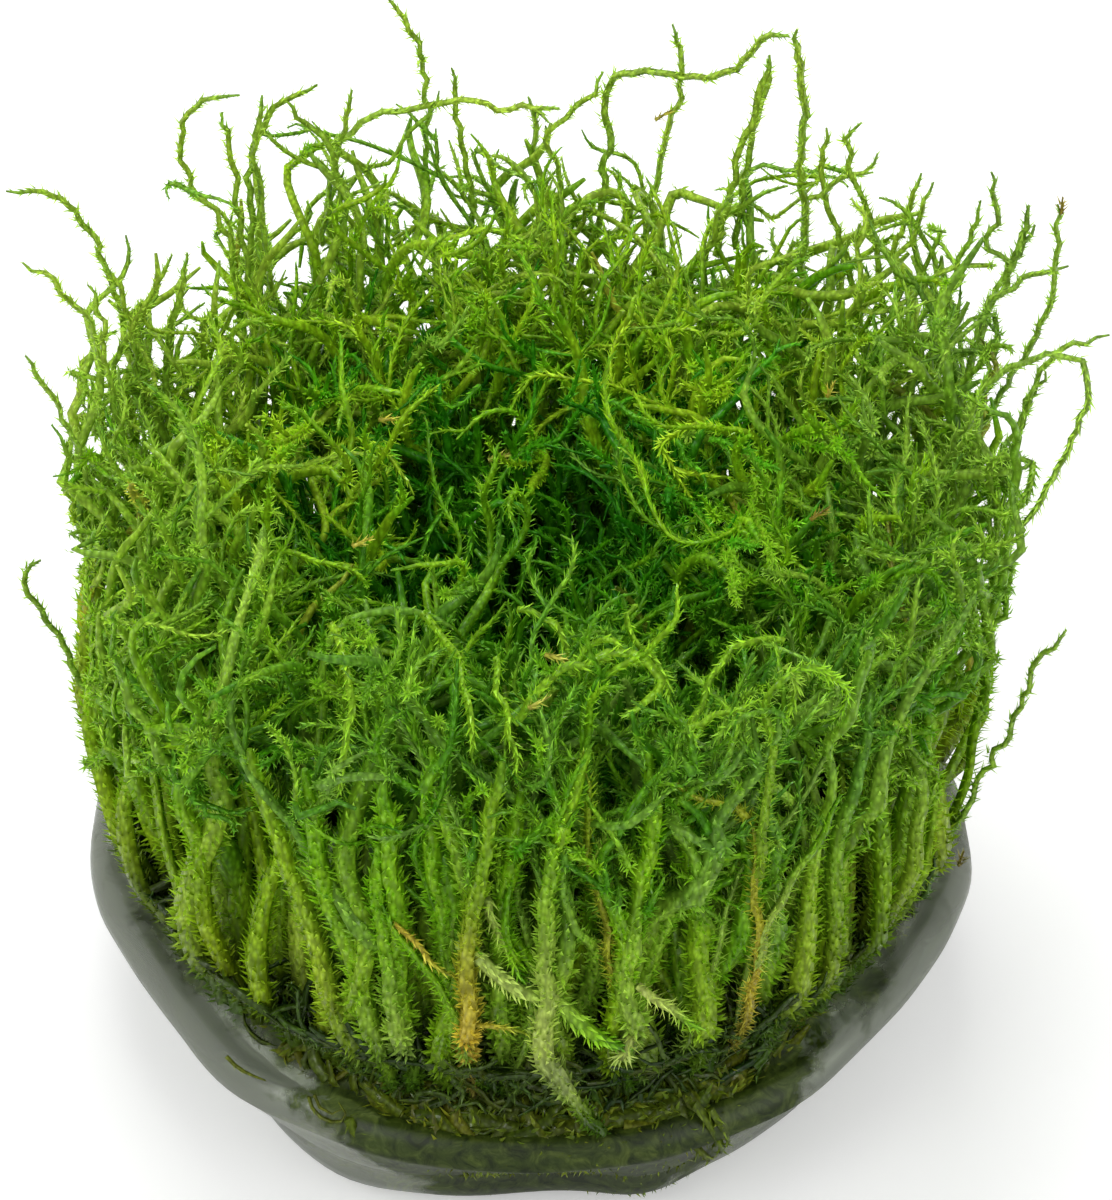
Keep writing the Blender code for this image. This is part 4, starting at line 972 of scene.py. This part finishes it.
def gel_finish(settings):
    """Clear gel with a faint haze, stained olive where moss lies just under its surface."""
    made, tree = emptied(bpy.data.materials.new("clear_gel"))
    place = node(tree, "ShaderNodeTexCoord").outputs["Object"]
    ripple = clouds(tree, place, 160.0, 1.0)
    bump = node(tree, "ShaderNodeBump", {"Height": ripple, "Strength": 0.20, "Distance": 0.0008})
    cloud = clouds(tree, place, 120.0, 3.0)
    haze = fitted(tree, cloud, 0.35, 0.65, 0.09, 0.20)
    # At the front and round the brim the moss comes up to the surface and stains the gel olive.
    edge = clouds(tree, place, 130.0, 5.0, 0.65, 0.6)
    ragged = maths(tree, "MULTIPLY_ADD", edge, 0.016, -0.008)
    spot = node(tree, "ShaderNodeSeparateXYZ", {0: place})
    across = maths(tree, "ADD", spot.outputs[0], ragged)
    flat = node(tree, "ShaderNodeVectorMath", {0: place, 1: (1.0, 1.0, 0.0)}, operation="MULTIPLY")
    outward = node(tree, "ShaderNodeVectorMath", {0: flat}, operation="LENGTH")
    frayed = maths(tree, "MULTIPLY_ADD", ragged, 0.55, outward.outputs["Value"])
    leaning = maths(tree, "MULTIPLY_ADD", spot.outputs[0], -0.010, frayed)
    leftward = maths(tree, "ADD", across, spot.outputs[2])
    rightward = maths(tree, "SUBTRACT", across, spot.outputs[2])
    left = fitted(tree, leftward, -0.0046, -0.0028)
    right = fitted(tree, rightward, 0.0076, 0.0098, 1.0, 0.0)
    ahead = fitted(tree, spot.outputs[1], -0.016, -0.020)
    inner = fitted(tree, leaning, 0.0280, 0.0293, 0.85, 0.0)
    middle = maths(tree, "MULTIPLY", left, right)
    front = maths(tree, "MULTIPLY", middle, ahead)
    above = fitted(tree, spot.outputs[2], 0.0094, 0.0108)
    round_feet = maths(tree, "MULTIPLY", inner, above)
    # Behind, where nothing was seen, strands show through the wall in streaks, as they do on the right.
    veins = fitted(tree, edge, 0.47, 0.56, 0.0, 0.85)
    behind = fitted(tree, spot.outputs[1], -0.012, 0.002)
    seen_through = maths(tree, "MULTIPLY", veins, behind)
    near_wall = maths(tree, "MAXIMUM", front, seen_through)
    stained = maths(tree, "MAXIMUM", near_wall, round_feet)
    streaks = clouds(tree, place, 620.0, 4.0, 0.65, 1.6)
    olive = node(tree, "ShaderNodeValToRGB", {0: streaks})
    ramp = olive.color_ramp
    ramp.elements[0].position, ramp.elements[0].color = 0.36, (0.034, 0.056, 0.008, 1.0)
    ramp.elements[1].position, ramp.elements[1].color = 0.74, (0.320, 0.420, 0.070, 1.0)
    ramp.elements.new(0.54).color = (0.105, 0.165, 0.020, 1.0)
    tint = blended(tree, stained, (0.67, 0.72, 0.60, 1.0), olive)
    dull = node(tree, "ShaderNodeMix", {0: stained, 2: haze, 3: 0.36})
    shader = node(
        tree, "ShaderNodeBsdfPrincipled",
        {
            "Base Color": tint, "Roughness": dull, "IOR": 1.34, "Specular IOR Level": 0.24,
            "Transmission Weight": 0.74, "Normal": bump,
        },
    )
    soak = node(tree, "ShaderNodeVolumeAbsorption", {"Color": tuple(settings.tint) + (1.0,), "Density": settings.density})
    node(tree, "ShaderNodeOutputMaterial", {"Surface": shader, "Volume": soak})
    return made


# The gel.


def gel_profile():
    """Outline of the gel from the middle of its top to the middle of its foot, as radius and height."""
    profile = [(0.0, GEL_HEIGHT + GEL_CLIMB)]
    brim_z = GEL_HEIGHT - GEL_BRIM_ROUND
    for radius in np.concatenate((np.linspace(4.0, 24.0, 6), np.linspace(25.5, GEL_TOP_RADIUS - GEL_BRIM_ROUND, 8))):
        profile.append((radius, GEL_HEIGHT + GEL_CLIMB * (1.0 - smooth_step(24.0, GEL_TOP_RADIUS - GEL_BRIM_ROUND, radius))))
    for step in range(1, 7):
        angle = math.radians(90.0 - 15.0 * step)
        across, up = GEL_BRIM_ROUND * math.cos(angle), GEL_BRIM_ROUND * math.sin(angle)
        profile.append((GEL_TOP_RADIUS - GEL_BRIM_ROUND + across, brim_z + up))
    for share in np.linspace(0.2, 1.0, 5):
        profile.append((GEL_TOP_RADIUS + (GEL_FOOT_RADIUS - GEL_TOP_RADIUS) * share, brim_z + (GEL_FOOT_ROUND - brim_z) * share))
    for step in range(1, 7):
        angle = math.radians(15.0 * step)
        across, down = GEL_FOOT_ROUND * math.cos(angle), GEL_FOOT_ROUND * math.sin(angle)
        profile.append((GEL_FOOT_RADIUS - GEL_FOOT_ROUND + across, GEL_FOOT_ROUND - down))
    profile += [(radius, 0.0) for radius in np.linspace(19.0, 4.0, 5)]
    profile.append((0.0, 0.0))
    return profile


def bearing_sum(swells, bearing):
    total = 0.0
    for place, width, out in swells:
        away = (bearing - place + 180.0) % 360.0 - 180.0
        total += out * math.exp(-((away / width) ** 2))
    return total


def wall_swell(bearing, height):
    """How far the wall stands out at a bearing: the swells fade towards the top, the slumps don't."""
    swell = bearing_sum(GEL_SWELLS, bearing)
    fade = 1.0 - smooth_step(0.45 * GEL_HEIGHT, GEL_HEIGHT - GEL_BRIM_ROUND, height)
    return swell * fade + bearing_sum(GEL_SLUMPS, bearing)


def gel_mesh(settings):
    profile = gel_profile()
    around = 168
    scale = settings.radius / (GEL_TOP_RADIUS * MM)
    rise = settings.height / (GEL_HEIGHT * MM)
    lumps = settings.lumps / MM
    shape = bmesh.new()
    rings = []
    for radius, height in profile:
        if radius == 0.0:
            rings.append([shape.verts.new((0.0, 0.0, height * MM * rise))])
            continue
        ring = []
        for number in range(around):
            angle = 2.0 * math.pi * number / around
            out = radius + wall_swell(math.degrees(angle), height) * min(1.0, radius / GEL_FOOT_RADIUS) ** 3
            x, y, z = out * math.cos(angle), out * math.sin(angle), height
            push = noise.noise(Vector((x, y, z)) * 0.16) * lumps
            if 0.0 < height < GEL_HEIGHT:
                x += push * math.cos(angle)
                y += push * math.sin(angle)
            if height >= GEL_HEIGHT:
                z += noise.noise(Vector((x, y, 3.0)) * 0.45) * lumps * 1.3 - 0.25
            ring.append(shape.verts.new((x * MM * scale, y * MM * scale, z * MM * rise)))
        rings.append(ring)
    for upper, lower in zip(rings, rings[1:]):
        for number in range(around):
            after = (number + 1) % around
            if len(upper) == 1:
                shape.faces.new((upper[0], lower[number], lower[after]))
            elif len(lower) == 1:
                shape.faces.new((upper[number], lower[0], upper[after]))
            else:
                shape.faces.new((upper[number], lower[number], lower[after], upper[after]))
    bmesh.ops.recalc_face_normals(shape, faces=shape.faces)
    for face in shape.faces:
        face.smooth = True
    mesh = bpy.data.meshes.new("nutrient_gel")
    shape.to_mesh(mesh)
    shape.free()
    return mesh


# Moss set in the gel.


def wall_radius(bearing, height):
    """Radius of the gel's wall, or of its shoulder above that, at a bearing and a height."""
    brim = GEL_HEIGHT - GEL_BRIM_ROUND
    if height > brim:
        radius = between(SHOULDER, height)
    elif height >= GEL_FOOT_ROUND:
        radius = GEL_FOOT_RADIUS + (GEL_TOP_RADIUS - GEL_FOOT_RADIUS) * (height - GEL_FOOT_ROUND) / (brim - GEL_FOOT_ROUND)
    else:
        drop = GEL_FOOT_ROUND - height
        radius = GEL_FOOT_RADIUS - GEL_FOOT_ROUND + math.sqrt(max(0.0, GEL_FOOT_ROUND**2 - drop**2))
    return radius + wall_swell(bearing, height)


def at_front(bearing):
    """One where the moss in the gel comes right up to its surface, nought elsewhere."""
    begins, ends = FRONT_BEARINGS
    return smooth_step(*begins, bearing) * (1.0 - smooth_step(*ends, bearing))


def set_strands(seed):
    """Strands that lie curled in the gel, close to its wall at the front and set back at the sides."""
    rng = np.random.default_rng(seed)
    strands = []
    for number in range(STRAND_COUNT):
        bearing = -180.0 + 360.0 * (number + rng.uniform()) / STRAND_COUNT if number % 2 else rng.uniform(-128.0, -52.0)
        near = at_front(bearing)
        girth = rng.uniform(0.36, 0.85) * (1.0 + 0.25 * near)
        depth = abs(rng.normal(0.0, 1.8 - 1.3 * near))
        height = rng.uniform(1.8, 14.2)
        back = between(SET_BACK, bearing) + 1.2 * (1.0 - near) * (1.0 - smooth_step(2.0, 6.0, height))
        back *= 1.0 - smooth_step(10.0, 13.0, height)
        radius = wall_radius(bearing, height) - back - depth - 0.4 * (1.0 - near)
        angle = math.radians(bearing)
        start = (radius * math.cos(angle), radius * math.sin(angle), height)
        sideways = np.array((-math.sin(angle), math.cos(angle), rng.normal(0.0, 0.6)))
        heading = sideways * (1.0 if rng.uniform() < 0.5 else -1.0) + rng.normal(0.0, 0.25, 3)
        length = rng.uniform(3.5, 10.0)
        line = wandered(rng, start, heading, length, 1.1, lambda share: 0.35, lambda share: 0.0, NO_WALL)
        kept = []
        for point in line:
            x, y, z = point
            z = min(14.4, max(1.1 + 1.2 * girth, z))
            here = math.degrees(math.atan2(y, x))
            close = at_front(here) * smooth_step(3.5, 5.5, z)
            limit = wall_radius(here, z) - between(SET_BACK, here) * (1.0 - smooth_step(10.0, 13.0, z))
            limit = limit - (1.22 - 0.26 * close) * girth - 0.06
            pull = min(1.0, limit / math.hypot(x, y))
            kept.append((x * pull, y * pull, z))
        dry = 0.20 if rng.uniform() < 0.12 else 0.0
        age, tone = rng.uniform(0.4, 1.0), float(np.clip(rng.normal(0.4, 0.25), 0.0, 1.0))
        strands.append(Shoot(kept, girth, age, tone, dry, 0.0, rng.uniform(0.3, 1.0), 1.0))
    for girth, tone, dry, leafy, points in LOOSE_BITS:
        strands.append(Shoot(points, girth, 0.6, tone, dry, 0.15, 0.4, 1.0, leafy))
    return strands




def wet_mat(seed):
    """Short wet shoots matted over the gel: a skirt round the feet of the outer moss, and a dark floor of painted shade
    between them.
    """
    rng = np.random.default_rng(seed)
    mat = []
    for number in range(MAT_COUNT):
        bearing = rng.uniform(-180.0, 180.0) if rng.uniform() < 0.40 else rng.uniform(-172.0, -8.0)
        height = 12.0 + (between(MAT_CLIMB, bearing) - 12.0) * rng.uniform() ** 1.3
        radius = between(MAT_REACH, height) - abs(rng.normal(0.0, 1.8))
        angle = math.radians(bearing)
        start = (radius * math.cos(angle), radius * math.sin(angle), height)
        heading = rng.normal(0.0, 1.0, 3)
        heading[2] = abs(heading[2]) * 0.6
        length = rng.uniform(3.0, 7.5)
        line = wandered(rng, start, heading, length, 0.9, lambda share: 0.75, lambda share: -0.06, NO_WALL)
        girth = rng.uniform(0.28, 0.66)
        kept = []
        for x, y, z in line:
            z = max(11.6, z)
            here = math.degrees(math.atan2(y, x))
            reach = between(MAT_REACH, z) - max(0.0, between(SET_BACK, here) - 2.4) * (1.0 - smooth_step(13.0, 17.0, z))
            reach = reach + bearing_sum(GEL_SLUMPS, here) - girth
            pull = min(1.0, reach / math.hypot(x, y))
            kept.append((x * pull, y * pull, z))
        age, tone = rng.uniform(0.5, 1.0), float(np.clip(rng.normal(0.35, 0.30), 0.0, 1.0))
        mat.append(Shoot(kept, girth, age, tone, 0.0, 0.0, rng.uniform(0.0, 0.9), 1.1))
    # Painted shade: the floor between the feet is thick bare strands in the darkest wet green, under the cushion.
    for number in range(MAT_FLOOR_COUNT):
        radius, angle = 27.0 * math.sqrt((number + 0.5) / MAT_FLOOR_COUNT), number * GOLDEN_ANGLE
        start = (radius * math.cos(angle), radius * math.sin(angle), rng.uniform(14.4, 16.0))
        heading = (rng.normal(), rng.normal(), 0.05)
        length = rng.uniform(4.0, 8.0)
        line = wandered(rng, start, heading, length, 1.6, lambda share: 0.3, lambda share: 0.0, MAT_FLOOR_WALL)
        kept = [(x, y, max(14.0, z)) for x, y, z in line]
        mat.append(Shoot(kept, rng.uniform(0.9, 1.5), 1.0, 0.05, 0.0, 0.0, 0.1, 1.0, 0.0))
    return mat


# The operators.


def settings():
    return bpy.context.scene.moss_cushion


def tuft_names(ring, numbers):
    return [f"{RINGS[ring][0]}_{number + 1:02d}" for number in numbers]


GROWTH = {}
# The far side had more light, so its leaves are painted a brighter green: painted light.
FAR_LIT_COLOURS = {"Fresh": (0.620, 0.990, 0.020), "Deep": (0.250, 0.740, 0.008), "Olive": (0.660, 0.780, 0.020)}
# The hollow's leaves are a darker, less yellow green: partly their own hue, partly painted shade in the hollow.
HOLLOW_SHADED_COLOURS = {"Fresh": (0.200, 0.780, 0.006), "Deep": (0.034, 0.360, 0.002)}
IN_GEL_COLOURS = {
    "Fresh": (0.150, 0.250, 0.008), "Deep": (0.032, 0.075, 0.004), "Olive": (0.190, 0.215, 0.008),
    "Pale": (0.300, 0.400, 0.060), "Golden": (0.30, 0.26, 0.03),
}
WET_COLOURS = {
    "Fresh": (0.085, 0.190, 0.010), "Deep": (0.018, 0.066, 0.007), "Olive": (0.110, 0.145, 0.009),
    "Pale": (0.240, 0.360, 0.070),
}
# The left run's leaves are painted a lighter green: painted light on that side.
LEFT_LIT_COLOURS = {"Fresh": (0.480, 0.900, 0.014), "Deep": (0.140, 0.520, 0.005)}


def grown_shoots():
    """All shoots by tuft; grown once, as every ring is cut from the same cushion."""
    if not GROWTH:
        for filed in (cushion_shoots(settings().moss), placed_shoots()):
            for tuft, shoots in filed.items():
                GROWTH.setdefault(tuft, []).extend(shoots)
    return GROWTH


def build_ring(ring, parts, finish):
    """One piece for each run of tufts in a ring."""
    growth = grown_shoots()
    for index, (part, numbers) in enumerate(parts):
        shoots = [shoot for number in numbers for shoot in growth.get((ring, number), [])]
        piece = leafy_piece(part, shoots, finish, 11 + ring * 10 + index)
        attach(piece, "root")
        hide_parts(*tuft_names(ring, numbers))


class MOSS_OT_gel(bpy.types.Operator):
    """Casts the puck of clear gel"""

    bl_idname = "moss.gel"
    bl_label = "Nutrient Gel"

    def execute(self, context):
        gel = show("nutrient_gel", gel_mesh(settings().gel))
        gel.data.materials.append(gel_finish(settings().gel))
        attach(gel, "root")
        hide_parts("gel_puck")
        return {"FINISHED"}


class MOSS_OT_set_strands(bpy.types.Operator):
    """Lays the strands that are set in the gel"""

    bl_idname = "moss.set_strands"
    bl_label = "Strands in the Gel"

    def execute(self, context):
        for part, paint, shoots, colours, gloss, seed, leaf_gap, stout_gap in (
            ("strands_in_gel", "moss_in_gel", set_strands(31), IN_GEL_COLOURS, 0.15, 5, 0.0004, 0.00025),
            ("wet_mat", "moss_wet_mat", wet_mat(47), WET_COLOURS, 0.25, 6, 0.0003, 0.0002),
        ):
            finish = moss_finish(paint, settings().moss, colours, 0.0, gloss)
            gaps = {"Slender Leaf Gap": leaf_gap, "Stout Leaf Gap": stout_gap, "Stout Sides": 4}
            piece = leafy_piece(part, shoots, finish, seed, gaps)
            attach(piece, "root")
        return {"FINISHED"}


class MOSS_OT_outer(bpy.types.Operator):
    """Grows the ring of moss that stood against the cup's wall, with its long shoots"""

    bl_idname = "moss.outer"
    bl_label = "Outer Moss"

    def execute(self, context):
        starts = (("right", 18), ("back_right", 2), ("back_left", 6), ("left", 10), ("front", 14))
        parts = [(f"outer_moss_{side}", [(start + step) % 20 for step in range(4)]) for side, start in starts]
        build_ring(0, (parts[0], parts[4]), moss_finish("moss_rim", settings().moss))
        # The far runs take leaves painted a brighter green, and the left run a lighter one: painted light.
        build_ring(0, parts[1:3], moss_finish("moss_far_rim", settings().moss, FAR_LIT_COLOURS))
        build_ring(0, parts[3:4], moss_finish("moss_left_rim", settings().moss, LEFT_LIT_COLOURS))
        return {"FINISHED"}


class MOSS_OT_middle(bpy.types.Operator):
    """Grows the middle ring"""

    bl_idname = "moss.middle"
    bl_label = "Middle Moss"

    def execute(self, context):
        # The far half takes leaves painted a brighter green: painted light.
        build_ring(1, [("middle_moss_back", range(0, 7))], moss_finish("moss_far_middle", settings().moss, FAR_LIT_COLOURS))
        build_ring(1, [("middle_moss_front", range(7, 14))], moss_finish("moss_middle", settings().moss))
        return {"FINISHED"}


class MOSS_OT_inner(bpy.types.Operator):
    """Grows the slope of the hollow and its floor"""

    bl_idname = "moss.inner"
    bl_label = "Hollow Moss"

    def execute(self, context):
        # The hollow takes leaves painted darker: partly their own less yellow green, partly painted shade.
        finish = moss_finish("moss_hollow", settings().moss, HOLLOW_SHADED_COLOURS)
        build_ring(2, [("inner_moss", range(8))], finish)
        build_ring(3, [("centre_moss", range(3))], finish)
        return {"FINISHED"}


class MOSS_OT_stage(bpy.types.Operator):
    """Sets the floor, the soft lamps and the camera"""

    bl_idname = "moss.stage"
    bl_label = "Stage"

    def execute(self, context):
        stage = settings().stage
        mesh = bpy.data.meshes.new("floor")
        corners = [(x * FLOOR_HALF, y * FLOOR_HALF, 0.0) for x, y in ((-1, -1), (1, -1), (1, 1), (-1, 1))]
        mesh.from_pydata(corners, [], [(0, 1, 2, 3)])
        floor = show("floor", mesh)
        floor.location.z = -FLOOR_DROP
        paint, tree = emptied(bpy.data.materials.new("floor_paint"))
        paint_feeds = {"Base Color": tuple(stage.floor) + (1.0,), "Roughness": 0.9, "Specular IOR Level": 0.1}
        shader = node(tree, "ShaderNodeBsdfPrincipled", paint_feeds)
        seen = for_rays(tree, "Camera", "Transmission")
        glow = node(tree, "ShaderNodeEmission", {"Color": WHITE, "Strength": 0.30})
        none = node(tree, "ShaderNodeEmission", {"Color": BLACK, "Strength": 0.0})
        picked = node(tree, "ShaderNodeMixShader", {0: seen, 1: none, 2: glow})
        summed = node(tree, "ShaderNodeAddShader", {0: shader, 1: picked})
        node(tree, "ShaderNodeOutputMaterial", {"Surface": summed})
        mesh.materials.append(paint)

        world, tree = emptied(bpy.data.worlds.new("studio"))
        bpy.context.scene.world = world
        seen = for_rays(tree, "Camera", "Transmission", "Glossy")
        even = node(tree, "ShaderNodeBackground", {"Color": WHITE, "Strength": stage.sky})
        white = node(tree, "ShaderNodeBackground", {"Color": WHITE, "Strength": 1.0})
        picked = node(tree, "ShaderNodeMixShader", {0: seen, 1: even, 2: white})
        node(tree, "ShaderNodeOutputWorld", {"Surface": picked})

        for name, place, width, share in LAMPS:
            lamp = bpy.data.lights.new(name, "AREA")
            lamp.shape = "DISK"
            lamp.size = width
            lamp.energy = stage.lamp * share
            pointed(show(name, lamp), place, LAMP_AIM)

        camera = bpy.data.cameras.new("camera")
        camera.lens = CAMERA_LENS
        camera.sensor_width = 36.0
        camera.sensor_fit = "AUTO"
        camera.clip_start = 0.01
        holder = pointed(show("camera", camera), CAMERA_PLACE, CAMERA_AIM)
        bpy.context.scene.camera = holder
        bpy.context.scene.view_settings.view_transform = "Standard"
        return {"FINISHED"}


class CushionSettings(bpy.types.PropertyGroup):
    gel: PointerProperty(type=GelSettings, name="Gel", description="The puck that the moss grows on")
    moss: PointerProperty(type=MossSettings, name="Moss", description="The shoots and their leaves")
    stage: PointerProperty(type=StageSettings, name="Stage", description="Floor and light")


OPERATORS = (MOSS_OT_stage, MOSS_OT_gel, MOSS_OT_set_strands, MOSS_OT_outer, MOSS_OT_middle, MOSS_OT_inner)


class MOSS_PT_panel(bpy.types.Panel):
    """Lists the steps and the sizes and colours that they use"""

    bl_idname = "MOSS_PT_panel"
    bl_label = "Java Moss Cushion"
    bl_space_type = "VIEW_3D"
    bl_region_type = "UI"
    bl_category = "Moss"

    def draw(self, context):
        cushion = context.scene.moss_cushion
        for operator in OPERATORS:
            self.layout.operator(operator.bl_idname)
        for part in (cushion.gel, cushion.moss, cushion.stage):
            box = self.layout.box()
            for name in part.__annotations__:
                box.prop(part, name)


CLASSES = (GelSettings, MossSettings, StageSettings, CushionSettings) + OPERATORS + (MOSS_PT_panel,)


def register():
    for item in CLASSES:
        bpy.utils.register_class(item)
    bpy.types.Scene.moss_cushion = PointerProperty(type=CushionSettings)


def unregister():
    del bpy.types.Scene.moss_cushion
    for item in reversed(CLASSES):
        bpy.utils.unregister_class(item)


def main():
    register()
    bpy.ops.moss.stage()
    bpy.ops.moss.gel()
    bpy.ops.moss.set_strands()
    bpy.ops.moss.outer()
    bpy.ops.moss.middle()
    bpy.ops.moss.inner()
    for key in ("stout_leaf", "slender_leaf"):
        bpy.data.objects.remove(bpy.data.objects[key], do_unlink=True)


if __name__ == "__main__":
    main()
